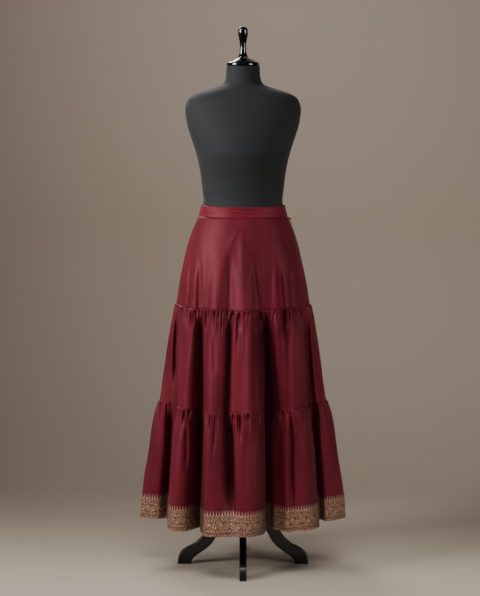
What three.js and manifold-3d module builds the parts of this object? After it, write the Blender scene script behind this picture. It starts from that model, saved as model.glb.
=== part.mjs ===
// A three-tier gathered silk skirt with a zari hem border, standing on a limbless dress form.
// Millimetres, +Z up, front towards -Y, +X is the wearer's left.
// The origin is on the floor, under the middle of the part.
import * as THREE from 'three';
import { mergeVertices } from 'three/addons/utils/BufferGeometryUtils.js';
import Module from 'manifold-3d';

const wasm = await Module();
wasm.setup();

// ---------------------------------------------------------------- driving dimensions

const GAP = 0.3;                  // between pieces that touch
const CLOTH = 1.6;                // silk with its seam turnings
const BAND_CLOTH = 1.9;           // folded and interfaced waistband
const BORDER_CLOTH = 1.1;         // woven border laid on the silk

const BAND_TOP = 1040.5;
const BAND_FOOT = 1010.8;
const FIRST_SEAM = 759.5;         // upper tier to middle tier
const SECOND_SEAM = 480.3;        // middle tier to lower tier
const HEM = 136.7;
const BORDER_HEIGHT = 72;

// Outer section of the skirt by height: half its width, and its depth before and behind the side seams.
const SKIRT_SECTIONS = [
  { height: 1040.5, halfWidth: 118.6, frontDepth: 92, backDepth: 91 },
  { height: 1010.7, halfWidth: 125.5, frontDepth: 98, backDepth: 98 },
  { height: 992.3, halfWidth: 133.7, frontDepth: 105, backDepth: 107 },
  { height: 969.5, halfWidth: 143.2, frontDepth: 113, backDepth: 118 },
  { height: 924.0, halfWidth: 157.5, frontDepth: 128, backDepth: 137 },
  { height: 878.3, halfWidth: 168.5, frontDepth: 141, backDepth: 151 },
  { height: 832.6, halfWidth: 178.6, frontDepth: 152, backDepth: 162 },
  { height: 786.7, halfWidth: 186.0, frontDepth: 161, backDepth: 171 },
  { height: 759.5, halfWidth: 190.4, frontDepth: 166, backDepth: 175 },
  { height: 729.3, halfWidth: 198.2, frontDepth: 173, backDepth: 182 },
  { height: 683.2, halfWidth: 207.3, frontDepth: 180, backDepth: 189 },
  { height: 590.7, halfWidth: 222.9, frontDepth: 190, backDepth: 199 },
  { height: 521.1, halfWidth: 233.3, frontDepth: 197, backDepth: 206 },
  { height: 480.3, halfWidth: 239.0, frontDepth: 201, backDepth: 208 },
  { height: 445.3, halfWidth: 249.3, frontDepth: 209, backDepth: 214.5 },
  { height: 392.8, halfWidth: 262.2, frontDepth: 217, backDepth: 220.5 },
  { height: 322.4, halfWidth: 274.2, frontDepth: 225, backDepth: 226.5 },
  { height: 208.7, halfWidth: 290.2, frontDepth: 233, backDepth: 231 },
  { height: 136.7, halfWidth: 295.7, frontDepth: 236, backDepth: 232.1 },
];

// Crests and valleys of the hanging folds, once round the skirt from its right side seam.
// Angles are in degrees from centre front, at the first seam and at the hem; inset is how far in
// the cloth lies at the hem, as a share of the section; a late fold is shallower further up.
const FOLDS_TOP = 940;
const FOLD_POWER = 1.2;           // how soon the folds grow below their top
const FOLDS = [
  { seamAngle: -90, hemAngle: -90, inset: 0 },
  { seamAngle: -87, hemAngle: -86, inset: 0.09, late: 1.6 },
  { seamAngle: -83, hemAngle: -81, inset: 0.21, late: 1.8 },
  { seamAngle: -78, hemAngle: -75, inset: 0.28, late: 1.6 },
  { seamAngle: -70, hemAngle: -65, inset: 0.28, late: 1.5 },
  { seamAngle: -58, hemAngle: -54, inset: 0.11 },
  { seamAngle: -47, hemAngle: -44, inset: 0.06 },
  { seamAngle: -41, hemAngle: -38.5, inset: 0.11 },
  { seamAngle: -37.5, hemAngle: -35.5, inset: 0.205 },
  { seamAngle: -34, hemAngle: -32.5, inset: 0.262 },
  { seamAngle: -28, hemAngle: -25.5, inset: 0.07 },
  { seamAngle: -22.5, hemAngle: -20, inset: 0.013 },
  { seamAngle: -16, hemAngle: -13, inset: 0.02 },
  { seamAngle: -9.5, hemAngle: -7, inset: 0.06, late: 0.6 },
  { seamAngle: -1, hemAngle: 0, inset: 0.03 },
  { seamAngle: 6, hemAngle: 5, inset: 0.02 },
  { seamAngle: 12, hemAngle: 10, inset: 0.024 },
  { seamAngle: 16.5, hemAngle: 14, inset: 0.13 },
  { seamAngle: 21.5, hemAngle: 18.5, inset: 0.34 },
  { seamAngle: 29, hemAngle: 27, inset: 0.315, late: 1.1 },
  { seamAngle: 32.5, hemAngle: 31, inset: 0.185 },
  { seamAngle: 37, hemAngle: 37, inset: 0.155 },
  { seamAngle: 45, hemAngle: 44, inset: 0.115 },
  { seamAngle: 56, hemAngle: 53, inset: 0.09 },
  { seamAngle: 64, hemAngle: 60, inset: 0.27, late: 1.5 },
  { seamAngle: 72, hemAngle: 69, inset: 0.27, late: 1.6 },
  { seamAngle: 79, hemAngle: 77, inset: 0.14, late: 1.6 },
  { seamAngle: 85, hemAngle: 84, inset: 0.05, late: 1.4 },
  { seamAngle: 90, hemAngle: 90, inset: 0 },
  { seamAngle: 97, hemAngle: 98, inset: 0 },
  { seamAngle: 102, hemAngle: 104, inset: 0.05 },
  { seamAngle: 109, hemAngle: 111, inset: 0.22 },
  { seamAngle: 118, hemAngle: 120, inset: 0.05 },
  { seamAngle: 127, hemAngle: 129, inset: 0.04 },
  { seamAngle: 136, hemAngle: 138, inset: 0.26 },
  { seamAngle: 145, hemAngle: 147, inset: 0.02 },
  { seamAngle: 158, hemAngle: 160, inset: 0 },
  { seamAngle: 167, hemAngle: 169, inset: 0.2 },
  { seamAngle: 176, hemAngle: 178, inset: 0.01 },
  { seamAngle: 192, hemAngle: 194, inset: 0 },
  { seamAngle: 203, hemAngle: 204, inset: 0.24 },
  { seamAngle: 212, hemAngle: 213, inset: 0.03 },
  { seamAngle: 224, hemAngle: 224, inset: 0.03 },
  { seamAngle: 234, hemAngle: 233, inset: 0.25 },
  { seamAngle: 242, hemAngle: 241, inset: 0.05 },
  { seamAngle: 246, hemAngle: 245, inset: 0.06 },
  { seamAngle: 252, hemAngle: 252, inset: 0.2 },
  { seamAngle: 258, hemAngle: 258, inset: 0.06 },
  { seamAngle: 264, hemAngle: 264, inset: 0 },
];

// Gathers of a tier: how many go round, how high they stand and how far down they run.
const MIDDLE_GATHERS = { count: 64, height: 3.2, shortest: 30, longest: 95, seed: 3 };
const LOWER_GATHERS = { count: 52, height: 4.0, shortest: 38, longest: 120, seed: 11 };
const GATHER_SWELL = 12;          // below the seam, where a gather stands highest
const GATHER_AT_SEAM = 0.4;       // share of its height that a gather has at the seam
const GATHER_LOWEST = 0.6;        // height of the lowest gather, as a share of the tallest
const GATHER_WANDER = 0.28;       // unevenness of their spacing, as a share of the pitch

// Rows of each wall, as depths below its upper edge.
const UPPER_ROWS = [0, 18.2, 41, 86.5, 132, 186, 250.85];
const MIDDLE_ROWS = [0, 9, 24, 48, 90, 150, 215, 278.9];
const LOWER_ROWS = [0, 9, 26, 52, 100, 170, 343.45 - BORDER_HEIGHT, 343.45];
const PLAIN_COLUMNS = 64;         // round the waistband and the upper tier

// Padded torso by height: half its width, its depth before and behind the arm line.
const TORSO_COLUMNS = 36;
const TORSO_SECTIONS = [
  { height: 1430.5, halfWidth: 46.4, frontDepth: 46.4, backDepth: 46.4 },
  { height: 1402, halfWidth: 48.3, frontDepth: 49, backDepth: 49 },
  { height: 1387, halfWidth: 52, frontDepth: 53, backDepth: 54 },
  { height: 1379, halfWidth: 59, frontDepth: 57, backDepth: 60 },
  { height: 1372, halfWidth: 77, frontDepth: 62, backDepth: 67 },
  { height: 1363, halfWidth: 106, frontDepth: 69, backDepth: 76 },
  { height: 1352, halfWidth: 136, frontDepth: 76, backDepth: 85 },
  { height: 1337, halfWidth: 155, frontDepth: 85, backDepth: 94 },
  { height: 1310, halfWidth: 163, frontDepth: 96, backDepth: 101 },
  { height: 1270, halfWidth: 158, frontDepth: 108, backDepth: 103 },
  { height: 1232, halfWidth: 147, frontDepth: 118, backDepth: 99 },
  { height: 1196, halfWidth: 135, frontDepth: 121, backDepth: 94 },
  { height: 1160, halfWidth: 126, frontDepth: 112, backDepth: 88 },
  { height: 1120, halfWidth: 119, frontDepth: 97, backDepth: 84.5 },
  { height: 1083, halfWidth: 115, frontDepth: 90, backDepth: 83 },
  { height: 1058, halfWidth: 111.8, frontDepth: 87.5, backDepth: 83 },
  { height: 1043, halfWidth: 112.6, frontDepth: 88.5, backDepth: 86 },
  { height: 1011, halfWidth: 123.2, frontDepth: 95.8, backDepth: 95.8 },
  { height: 992, halfWidth: 129, frontDepth: 100, backDepth: 102 },
  { height: 969, halfWidth: 136, frontDepth: 106, backDepth: 110 },
  { height: 924, halfWidth: 147, frontDepth: 119, backDepth: 127 },
  { height: 870, halfWidth: 154, frontDepth: 130, backDepth: 139 },
  { height: 810, halfWidth: 153, frontDepth: 130, backDepth: 138 },
  { height: 750, halfWidth: 147, frontDepth: 124, backDepth: 130 },
  { height: 714, halfWidth: 142, frontDepth: 119, backDepth: 124 },
  { height: 702, halfWidth: 136, frontDepth: 114, backDepth: 118 },
  { height: 698, halfWidth: 126, frontDepth: 105, backDepth: 108 },
];

const POLE_RADIUS = 14;
const POLE_RING = { radius: 20, height: 10 };
const HEAD_PLATE = { radius: 34, height: 8, cove: 6 };
const POLE_SEGMENTS = 20;
const HUB_HALF = 18;
const HUB_CHAMFER = 5;
const HUB_FOOT = 142;
const HUB_TOP = 236;
const LEG_THICKNESS = 20;
const FOOT_HEEL = 151;            // where the flat of the foot starts, from the pole's axis
const FOOT_TOE = 190;
const LEG_SEAT_TOP = 228;
const LEG_SEAT_FOOT = 150;
// Upper and under edges of a leg, as distance out from the pole's axis and height.
const LEG_UPPER_EDGE = [
  { out: 50, height: 214 }, { out: 82, height: 158 }, { out: 104, height: 103 },
  { out: 122, height: 76 }, { out: 142, height: 58 }, { out: 162, height: 48 },
  { out: 178, height: 36 }, { out: 187, height: 18 },
];
const LEG_UNDER_EDGE = [
  { out: 146, height: 13 }, { out: 134, height: 25.5 }, { out: 112, height: 40.5 },
  { out: 88, height: 63 }, { out: 69, height: 95 }, { out: 46, height: 131 },
];

const CAP_HEIGHT = 23.2;
const CAP_PROFILE = [
  { radius: 46.2, rise: 0 }, { radius: 46.6, rise: 2 }, { radius: 46.2, rise: 7 },
  { radius: 44.6, rise: 9.6 }, { radius: 41, rise: 11.8 }, { radius: 28, rise: 17.5 },
  { radius: 15, rise: CAP_HEIGHT },
];
const FINIAL_PROFILE = [
  { radius: 13.7, rise: 0 }, { radius: 13.9, rise: 2 }, { radius: 12.2, rise: 5.5 },
  { radius: 9.6, rise: 15 }, { radius: 8.8, rise: 28 }, { radius: 9.6, rise: 41 },
  { radius: 11.6, rise: 51 }, { radius: 13.4, rise: 61 }, { radius: 14.1, rise: 70 },
  { radius: 13.4, rise: 77 }, { radius: 10.6, rise: 82.2 }, { radius: 5.6, rise: 84.9 },
  { radius: 0, rise: 85.5 },
];

const ZIP_TOP = 1001;             // height of the slider's bail
const SLIDER = { width: 7, thickness: 2.3, up: 4.6, down: 3.6, ease: 1, taper: 1.2 };
const BAIL = { width: 1.6, wire: 1, reach: 3.4, headroom: 2.2, sunk: 0.4, ease: 1 };
const PULL = {
  width: 5, thickness: 1.2, length: 17, eyeWidth: 2.6, eyeLength: 5.2, bar: 1.2,
  shoulder: 6, neck: 8, waist: 0.9, ease: 0.6,
};
const PULL_LEAN = THREE.MathUtils.degToRad(5);

// ---------------------------------------------------------------- finishes

function finish(colour, roughness, metalness = 0) {
  return () => new THREE.MeshStandardMaterial({ color: colour, roughness, metalness });
}

const SILK = finish(0x6e1f2c, 0.42);
const ZARI = finish(0x9a6b48, 0.45, 0.35);
const JERSEY = finish(0x2b2f33, 0.85);
const LACQUER = finish(0x101012, 0.15);
const WOOD = finish(0x1b1917, 0.4);
const ZIP_METAL = finish(0x3a3c40, 0.35, 0.9);

// ---------------------------------------------------------------- small helpers

const radians = THREE.MathUtils.degToRad;

/** A steady pseudo-random number from -1 to 1 for whole numbers i and seed. */
function scatter(i, seed) {
  const wave = Math.sin(i * 12.9898 + seed * 78.233) * 43758.5453;
  return 2 * (wave - Math.floor(wave)) - 1;
}

/** Slopes of a smooth curve through (xs, ys) that adds no humps of its own. */
function calmSlopes(xs, ys) {
  const last = xs.length - 1;
  const steps = xs.slice(1).map((x, i) => (ys[i + 1] - ys[i]) / (x - xs[i]));
  return xs.map((x, i) => {
    const before = steps[Math.max(i - 1, 0)];
    const after = steps[Math.min(i, last - 1)];
    return before * after > 0 ? 2 * before * after / (before + after) : 0;
  });
}

/** The smooth curve through (xs, ys), with xs rising, as a function of x. */
function calmCurve(xs, ys) {
  const slopes = calmSlopes(xs, ys);
  return (x) => {
    let i = 0;
    while (i < xs.length - 2 && x > xs[i + 1]) i += 1;
    const span = xs[i + 1] - xs[i];
    const t = THREE.MathUtils.clamp((x - xs[i]) / span, 0, 1);
    const rise = t * t * (3 - 2 * t);
    const blend = ys[i] * (1 - rise) + ys[i + 1] * rise;
    return blend + span * t * (1 - t) * (slopes[i] * (1 - t) - slopes[i + 1] * t);
  };
}

/** Section of a table by height: functions of height for each of its columns. */
function sectionCurves(table) {
  const rising = [...table].reverse();
  const heights = rising.map((row) => row.height);
  const column = (key) => calmCurve(heights, rising.map((row) => row[key]));
  return { halfWidth: column('halfWidth'), front: column('frontDepth'), back: column('backDepth') };
}

/** A geometry from its corner points and the triples that join them. */
function solid(points, triangles) {
  const geometry = new THREE.BufferGeometry();
  const coordinates = points.flatMap((point) => point.toArray());
  geometry.setAttribute('position', new THREE.Float32BufferAttribute(coordinates, 3));
  geometry.setIndex(triangles);
  geometry.computeVertexNormals();
  return geometry;
}

/** Two triangles on the four corners a, b, c, d, taken in turn round the face. */
function quad(a, b, c, d) {
  return [a, b, c, a, c, d];
}

/** A closed wall between an outer and an inner grid of points, rows from the top down. */
function wall(outer, inner) {
  const rows = outer.length;
  const columns = outer[0].length;
  const out = (i, j) => i * columns + j;
  const within = (i, j) => rows * columns + out(i, j);
  const triangles = [];
  for (let i = 0; i < rows - 1; i += 1) {
    for (let j = 0; j < columns - 1; j += 1) {
      triangles.push(...quad(out(i, j), out(i + 1, j), out(i + 1, j + 1), out(i, j + 1)));
      triangles.push(...quad(within(i, j), within(i, j + 1), within(i + 1, j + 1), within(i + 1, j)));
    }
    const end = columns - 1;
    triangles.push(...quad(out(i, 0), within(i, 0), within(i + 1, 0), out(i + 1, 0)));
    triangles.push(...quad(out(i, end), out(i + 1, end), within(i + 1, end), within(i, end)));
  }
  for (let j = 0; j < columns - 1; j += 1) {
    const foot = rows - 1;
    triangles.push(...quad(out(0, j), out(0, j + 1), within(0, j + 1), within(0, j)));
    triangles.push(...quad(out(foot, j), within(foot, j), within(foot, j + 1), out(foot, j + 1)));
  }
  return solid([...outer.flat(), ...inner.flat()], triangles);
}

/** A closed solid through full rings of points, from the top down, with flat ends. */
function skinned(rings) {
  const columns = rings[0].length;
  const triangles = [];
  for (let i = 0; i < rings.length - 1; i += 1) {
    for (let j = 0; j < columns; j += 1) {
      const next = (j + 1) % columns;
      const row = i * columns;
      triangles.push(...quad(row + j, row + columns + j, row + columns + next, row + next));
    }
  }
  const last = (rings.length - 1) * columns;
  for (let j = 1; j < columns - 1; j += 1) {
    triangles.push(0, j, j + 1, last, last + j + 1, last + j);
  }
  return solid(rings.flat(), triangles);
}

/** A turned solid: a profile of [radius, height] pairs carried round the Z axis. */
function turned(profile, segments) {
  const points = profile.map(([radius, height]) => new THREE.Vector2(radius, height));
  return new THREE.LatheGeometry(points, segments).rotateX(Math.PI / 2);
}

/** A named mesh. */
function piece(name, geometry, material) {
  const mesh = new THREE.Mesh(geometry, material());
  mesh.name = name;
  return mesh;
}

// ---------------------------------------------------------------- form of the cloth

const skirtSection = sectionCurves(SKIRT_SECTIONS);

/** How far the hanging folds have grown at a height: none at the hip, all of it at the hem. */
function foldGrowth(height) {
  const share = THREE.MathUtils.clamp((FOLDS_TOP - height) / (FOLDS_TOP - HEM), 0, 1);
  return Math.sin(share * Math.PI / 2) ** FOLD_POWER;
}

/** The inset of the folds at a height, as a function of the angle in degrees. */
function foldsAt(height) {
  const run = THREE.MathUtils.clamp((FIRST_SEAM - height) / (FIRST_SEAM - HEM), 0, 1);
  const growth = foldGrowth(height);
  const lap = (turns) => FOLDS.map(({ seamAngle, hemAngle, inset, late = 1 }) => ({
    angle: THREE.MathUtils.lerp(seamAngle, hemAngle, run) + 360 * turns,
    inset: inset * growth ** late,
  }));
  const stations = [...lap(-1).slice(-2), ...lap(0), ...lap(1).slice(0, 2)];
  return calmCurve(stations.map((s) => s.angle), stations.map((s) => s.inset));
}

/** One outer ring of the skirt at a height: angles in degrees, pushed out by lift(column). */
function skirtRing(height, angles, lift) {
  const inset = foldsAt(height);
  const halfWidth = skirtSection.halfWidth(height);
  const front = skirtSection.front(height);
  const back = skirtSection.back(height);
  return angles.map((angle, column) => {
    const turn = radians(angle);
    const depth = Math.cos(turn) > 0 ? front : back;
    const share = 1 - inset(angle);
    const point = new THREE.Vector3(halfWidth * Math.sin(turn), -depth * Math.cos(turn), 0);
    const outward = new THREE.Vector3(Math.sin(turn) / halfWidth, -Math.cos(turn) / depth, 0).normalize();
    point.multiplyScalar(share).addScaledVector(outward, lift(column));
    point.z = height;
    return point;
  });
}

/** The point past either end of a half ring: its neighbour mirrored in the side seam. */
function pastSeam(end, next) {
  return new THREE.Vector3(next.x, 2 * end.y - next.y, end.z);
}

/** The direction into the skirt, square to the stretch of ring from a to b. */
function inwards(a, b) {
  return new THREE.Vector3(a.y - b.y, b.x - a.x, 0).normalize();
}

/** A half ring moved inwards so that each of its stretches moves by the distance. */
function movedIn(ring, distance) {
  return ring.map((point, j) => {
    const before = ring[j - 1] ?? pastSeam(point, ring[j + 1]);
    const after = ring[j + 1] ?? pastSeam(point, ring[j - 1]);
    const mitre = inwards(before, point).add(inwards(point, after));
    return point.clone().addScaledVector(mitre, 2 * distance / mitre.lengthSq());
  });
}

/** Angles of a plain half: evenly spaced from one side seam to the other. */
function plainAngles(centre) {
  const half = PLAIN_COLUMNS / 2;
  return Array.from({ length: half + 1 }, (_, j) => centre - 90 + (180 * j) / half);
}

/** Angles of a gathered half: a crest and a trough for each gather, unevenly spaced. */
function gatheredAngles(centre, gathers) {
  const columns = gathers.count;
  const pitch = 180 / columns;
  return Array.from({ length: columns + 1 }, (_, j) => {
    const free = j > 0 && j < columns;
    return centre - 90 + pitch * (j + (free ? GATHER_WANDER * scatter(j + centre, gathers.seed) : 0));
  });
}

/** How far a gathered wall stands out at a column, some way below its seam. */
function gatherLift(column, centre, gathers, below) {
  const own = 0.5 + 0.5 * scatter(column + centre, gathers.seed + 1);
  const height = gathers.height * THREE.MathUtils.lerp(GATHER_LOWEST, 1, own);
  const run = THREE.MathUtils.lerp(gathers.shortest, gathers.longest, own ** 2);
  const swell = below < GATHER_SWELL
    ? THREE.MathUtils.lerp(GATHER_AT_SEAM, 1, Math.sin((below / GATHER_SWELL) * Math.PI / 2))
    : Math.exp(-(((below - GATHER_SWELL) / run) ** 2));
  const side = column % 2 === 0 ? 1 : -1;
  return side * height * swell;
}

/** The outer rings of half a tier, shifted clear of the other half at the side seams. */
function halfTier(top, rows, angles, lift, centre) {
  const away = (centre === 0 ? -1 : 1) * GAP / 2;
  return rows.map((below) => skirtRing(top - below, angles, (column) => lift(column, below))
    .map((point) => point.add(new THREE.Vector3(0, away, 0))));
}

/** A cloth wall behind its outer rings. */
function clothWall(rings, thickness) {
  return wall(rings, rings.map((ring) => movedIn(ring, thickness)));
}

/** A wall laid on the outer face of the rings. */
function laidOn(rings, thickness) {
  const outer = rings.map((ring) => movedIn(ring, -GAP - thickness));
  return wall(outer, rings.map((ring) => movedIn(ring, -GAP)));
}

// ---------------------------------------------------------------- the skirt

/** One half of the skirt, front or back: band, three tiers and the border on the last. */
function skirtHalf(side, centre) {
  const half = new THREE.Group();
  const level = () => 0;
  const plain = plainAngles(centre);
  const bandHeight = BAND_TOP - BAND_FOOT;
  const band = halfTier(BAND_TOP, [0, bandHeight / 2, bandHeight], plain, level, centre);
  half.add(piece(`waistband_${side}`, clothWall(band, BAND_CLOTH), SILK));

  const upper = halfTier(BAND_FOOT - GAP, UPPER_ROWS, plain, level, centre);
  half.add(piece(`upper_tier_${side}`, clothWall(upper, CLOTH), SILK));

  const middle = halfTier(FIRST_SEAM - GAP / 2, MIDDLE_ROWS, gatheredAngles(centre, MIDDLE_GATHERS),
    (column, below) => gatherLift(column, centre, MIDDLE_GATHERS, below), centre);
  half.add(piece(`middle_tier_${side}`, clothWall(middle, CLOTH), SILK));

  const lower = halfTier(SECOND_SEAM - GAP / 2, LOWER_ROWS, gatheredAngles(centre, LOWER_GATHERS),
    (column, below) => gatherLift(column, centre, LOWER_GATHERS, below), centre);
  half.add(piece(`lower_tier_${side}`, clothWall(lower, CLOTH), SILK));

  half.add(piece(`hem_border_${side}`, laidOn(lower.slice(-2), BORDER_CLOTH), ZARI));
  return half;
}

// ---------------------------------------------------------------- side zip

/** A geometry joined from several closed ones. */
function joined(geometries) {
  const solids = geometries.map((geometry) => {
    geometry.deleteAttribute('normal');
    geometry.deleteAttribute('uv');
    const merged = mergeVertices(geometry, 1e-4);
    return new wasm.Manifold(new wasm.Mesh({
      numProp: 3,
      vertProperties: merged.attributes.position.array,
      triVerts: Uint32Array.from(merged.index.array),
    }));
  });
  const mesh = solids.reduce((all, next) => all.add(next)).getMesh();
  const geometry = new THREE.BufferGeometry();
  geometry.setAttribute('position', new THREE.BufferAttribute(mesh.vertProperties, 3));
  geometry.setIndex(new THREE.BufferAttribute(mesh.triVerts, 1));
  geometry.computeVertexNormals();
  return geometry;
}

/** An outline in the X-Z plane, given thickness along Y and centred on it. */
function board(shape, thickness, curveSegments = 2) {
  const options = { depth: thickness, bevelEnabled: false, curveSegments };
  return new THREE.ExtrudeGeometry(shape, options).rotateX(Math.PI / 2).translate(0, thickness / 2, 0);
}

/** A closed outline through [across, up] pairs. */
function outlined(pairs) {
  return new THREE.Shape(pairs.map(([across, up]) => new THREE.Vector2(across, up)));
}

/** Slider: a plate on the seam that narrows downwards, and the bail that holds the pull. */
function sliderGeometry() {
  const wide = SLIDER.width / 2;
  const narrow = wide - SLIDER.taper;
  const plate = outlined([
    [-wide, SLIDER.up - SLIDER.ease], [-wide + SLIDER.ease, SLIDER.up],
    [wide - SLIDER.ease, SLIDER.up], [wide, SLIDER.up - SLIDER.ease],
    [narrow, -SLIDER.down], [-narrow, -SLIDER.down],
  ]);
  const body = board(plate, SLIDER.thickness, 1).rotateZ(Math.PI / 2)
    .translate(GAP + SLIDER.thickness / 2, 0, 0);

  const root = GAP + SLIDER.thickness - BAIL.sunk;
  const outside = GAP + SLIDER.thickness + BAIL.headroom + BAIL.wire;
  const inside = outside - BAIL.wire;
  const window = BAIL.reach - BAIL.wire;
  const arch = outlined([
    [root, -BAIL.reach], [outside - BAIL.ease, -BAIL.reach], [outside, -BAIL.reach + BAIL.ease],
    [outside, BAIL.reach - BAIL.ease], [outside - BAIL.ease, BAIL.reach], [root, BAIL.reach],
    [root, window], [inside, window], [inside, -window], [root, -window],
  ]);
  return joined([body, board(arch, BAIL.width, 1)]);
}

/** Pull tab: hangs from its bar at the origin, with an eye round the bail's lower leg. */
function pullGeometry() {
  const half = PULL.width / 2;
  const top = PULL.bar / 2;
  const tab = new THREE.Shape();
  tab.moveTo(-half + PULL.ease, top);
  tab.lineTo(half - PULL.ease, top);
  tab.lineTo(half, top - PULL.ease);
  tab.lineTo(half, -PULL.shoulder);
  tab.lineTo(half - PULL.waist, -PULL.neck);
  tab.absarc(0, -PULL.length + half, half, 0, -Math.PI, true);
  tab.lineTo(-half + PULL.waist, -PULL.neck);
  tab.lineTo(-half, -PULL.shoulder);
  tab.lineTo(-half, top - PULL.ease);
  const side = PULL.eyeWidth / 2;
  const end = -PULL.eyeLength;
  tab.holes.push(outlined([[-side, -top], [-side, end], [side, end], [side, -top]]));
  return board(tab, PULL.thickness, 6).rotateZ(Math.PI / 2);
}

/** The zip's metal on the left side seam, leaning with the cloth. */
function sideZip() {
  const zip = new THREE.Group();
  const reach = PULL.length / 2;
  const above = skirtSection.halfWidth(ZIP_TOP + reach);
  const below = skirtSection.halfWidth(ZIP_TOP - reach);
  zip.position.set((above + below) / 2, 0, ZIP_TOP);
  zip.rotation.y = -Math.atan2(below - above, 2 * reach);
  zip.add(piece('zip_slider', sliderGeometry(), ZIP_METAL));
  const pull = piece('zip_pull', pullGeometry(), ZIP_METAL);
  pull.position.x = GAP + SLIDER.thickness + BAIL.headroom / 2;
  pull.rotation.y = PULL_LEAN;
  zip.add(pull);
  return zip;
}

// ---------------------------------------------------------------- dress form and base

/** Padded torso with its neck, on smooth oval sections. */
function torso() {
  const rings = TORSO_SECTIONS.map(({ height, halfWidth, frontDepth, backDepth }) => (
    Array.from({ length: TORSO_COLUMNS }, (_, j) => {
      const turn = (2 * Math.PI * j) / TORSO_COLUMNS;
      const depth = Math.cos(turn) > 0 ? frontDepth : backDepth;
      return new THREE.Vector3(halfWidth * Math.sin(turn), -depth * Math.cos(turn), height);
    })));
  return skinned(rings);
}

/** A turned piece that stands at a height, from its profile of radius and rise. */
function turnedOn(foot, profile, segments) {
  const outline = profile.map(({ radius, rise }) => [radius, foot + rise]);
  const top = profile.at(-1);
  const lid = top.radius > 0 ? [[0, foot + top.rise]] : [];
  return turned([[0, foot], ...outline, ...lid], segments);
}

/** Turned pole from the base block to the torso, with a ring at its foot and a plate at its head. */
function pole() {
  const foot = HUB_TOP + GAP;
  const length = TORSO_SECTIONS.at(-1).height - GAP - foot;
  return turnedOn(foot, [
    { radius: POLE_RING.radius, rise: 0 },
    { radius: POLE_RING.radius, rise: POLE_RING.height },
    { radius: POLE_RADIUS, rise: POLE_RING.height + POLE_RING.radius - POLE_RADIUS },
    { radius: POLE_RADIUS, rise: length - HEAD_PLATE.height - HEAD_PLATE.cove },
    { radius: HEAD_PLATE.radius, rise: length - HEAD_PLATE.height },
    { radius: HEAD_PLATE.radius, rise: length },
  ], POLE_SEGMENTS);
}

/** Square base block with chamfered corners, that takes a leg on each face. */
function hub() {
  const near = HUB_HALF - HUB_CHAMFER;
  const outline = outlined([
    [near, -HUB_HALF], [HUB_HALF, -near], [HUB_HALF, near], [near, HUB_HALF],
    [-near, HUB_HALF], [-HUB_HALF, near], [-HUB_HALF, -near], [-near, -HUB_HALF],
  ]);
  const options = { depth: HUB_TOP - HUB_FOOT, bevelEnabled: false };
  return new THREE.ExtrudeGeometry(outline, options).translate(0, 0, HUB_FOOT);
}

/** A leg sawn from board: an ogee from the block's side down to a flat foot, along +X. */
function leg() {
  const seat = HUB_HALF + GAP;
  const points = (edge) => edge.map(({ out, height }) => new THREE.Vector2(out, height));
  const outline = new THREE.Shape();
  outline.moveTo(seat, LEG_SEAT_TOP);
  outline.splineThru(points([...LEG_UPPER_EDGE, { out: FOOT_TOE, height: 0 }]));
  outline.lineTo(FOOT_HEEL, 0);
  outline.splineThru(points([...LEG_UNDER_EDGE, { out: seat, height: LEG_SEAT_FOOT }]));
  return board(outline, LEG_THICKNESS, 2);
}

/** Pole, base block and the four legs round it. */
function base() {
  const stand = new THREE.Group();
  stand.add(piece('form_pole', pole(), WOOD), piece('base_hub', hub(), WOOD));
  const directions = { front: -90, left: 0, back: 90, right: 180 };
  for (const [side, angle] of Object.entries(directions)) {
    const board = piece(`leg_${side}`, leg(), WOOD);
    board.rotation.z = radians(angle);
    stand.add(board);
  }
  return stand;
}

// ---------------------------------------------------------------- the part

const part = new THREE.Group();
part.add(skirtHalf('front', 0), skirtHalf('back', 180), sideZip());
const neckTop = TORSO_SECTIONS[0].height + GAP;
const cap = turnedOn(neckTop, CAP_PROFILE, 28);
const finial = turnedOn(neckTop + CAP_HEIGHT + GAP, FINIAL_PROFILE, 20);
part.add(piece('form_torso', torso(), JERSEY), piece('neck_cap', cap, LACQUER));
part.add(piece('finial', finial, LACQUER), base());

export default part;
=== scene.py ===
"""A three-tier gathered silk skirt with a zari hem border, on a limbless dress form.

Lengths are millimetres while a shape is worked out, and metres once it is in a mesh.
The skirt is an oval that widens with depth; hanging folds pull it in, gathers and creases
lift it, and every panel, the border and the stitches are made from that one surface.
Angles go round the skirt from centre front, and are positive towards the wearer's left.
"""

import logging
from dataclasses import dataclass, field, replace
from enum import Enum
from functools import reduce
from typing import Optional, Sequence, Union

import bpy
import numpy as np
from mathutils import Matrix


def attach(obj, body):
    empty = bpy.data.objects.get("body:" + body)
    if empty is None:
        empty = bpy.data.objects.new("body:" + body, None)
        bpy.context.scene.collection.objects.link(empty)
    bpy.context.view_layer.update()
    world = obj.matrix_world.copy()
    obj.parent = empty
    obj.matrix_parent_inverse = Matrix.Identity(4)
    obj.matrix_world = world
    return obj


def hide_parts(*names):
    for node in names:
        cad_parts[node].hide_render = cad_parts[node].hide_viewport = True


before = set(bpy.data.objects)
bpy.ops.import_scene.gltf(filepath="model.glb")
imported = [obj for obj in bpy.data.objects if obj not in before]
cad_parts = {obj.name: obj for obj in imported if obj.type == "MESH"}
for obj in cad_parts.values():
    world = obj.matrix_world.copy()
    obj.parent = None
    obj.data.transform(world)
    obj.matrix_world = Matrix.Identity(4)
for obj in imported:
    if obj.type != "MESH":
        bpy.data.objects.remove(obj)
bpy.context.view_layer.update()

log = logging.getLogger("skirt")

MM = 0.001
GAP = 0.3                    # between pieces that touch
CREASE_SHADE_MM = 20.0             # crease depth at which two thirds of the painted crease shade is reached
CREASE_SHADE_POWER = 1.5           # how late the painted crease shade sets in
FORM_BODY = "form"

Array = np.ndarray
Object = bpy.types.Object
Material = bpy.types.Material
Tree = bpy.types.NodeTree
Socket = bpy.types.NodeSocket
Colour = Union[tuple, Socket]


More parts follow.
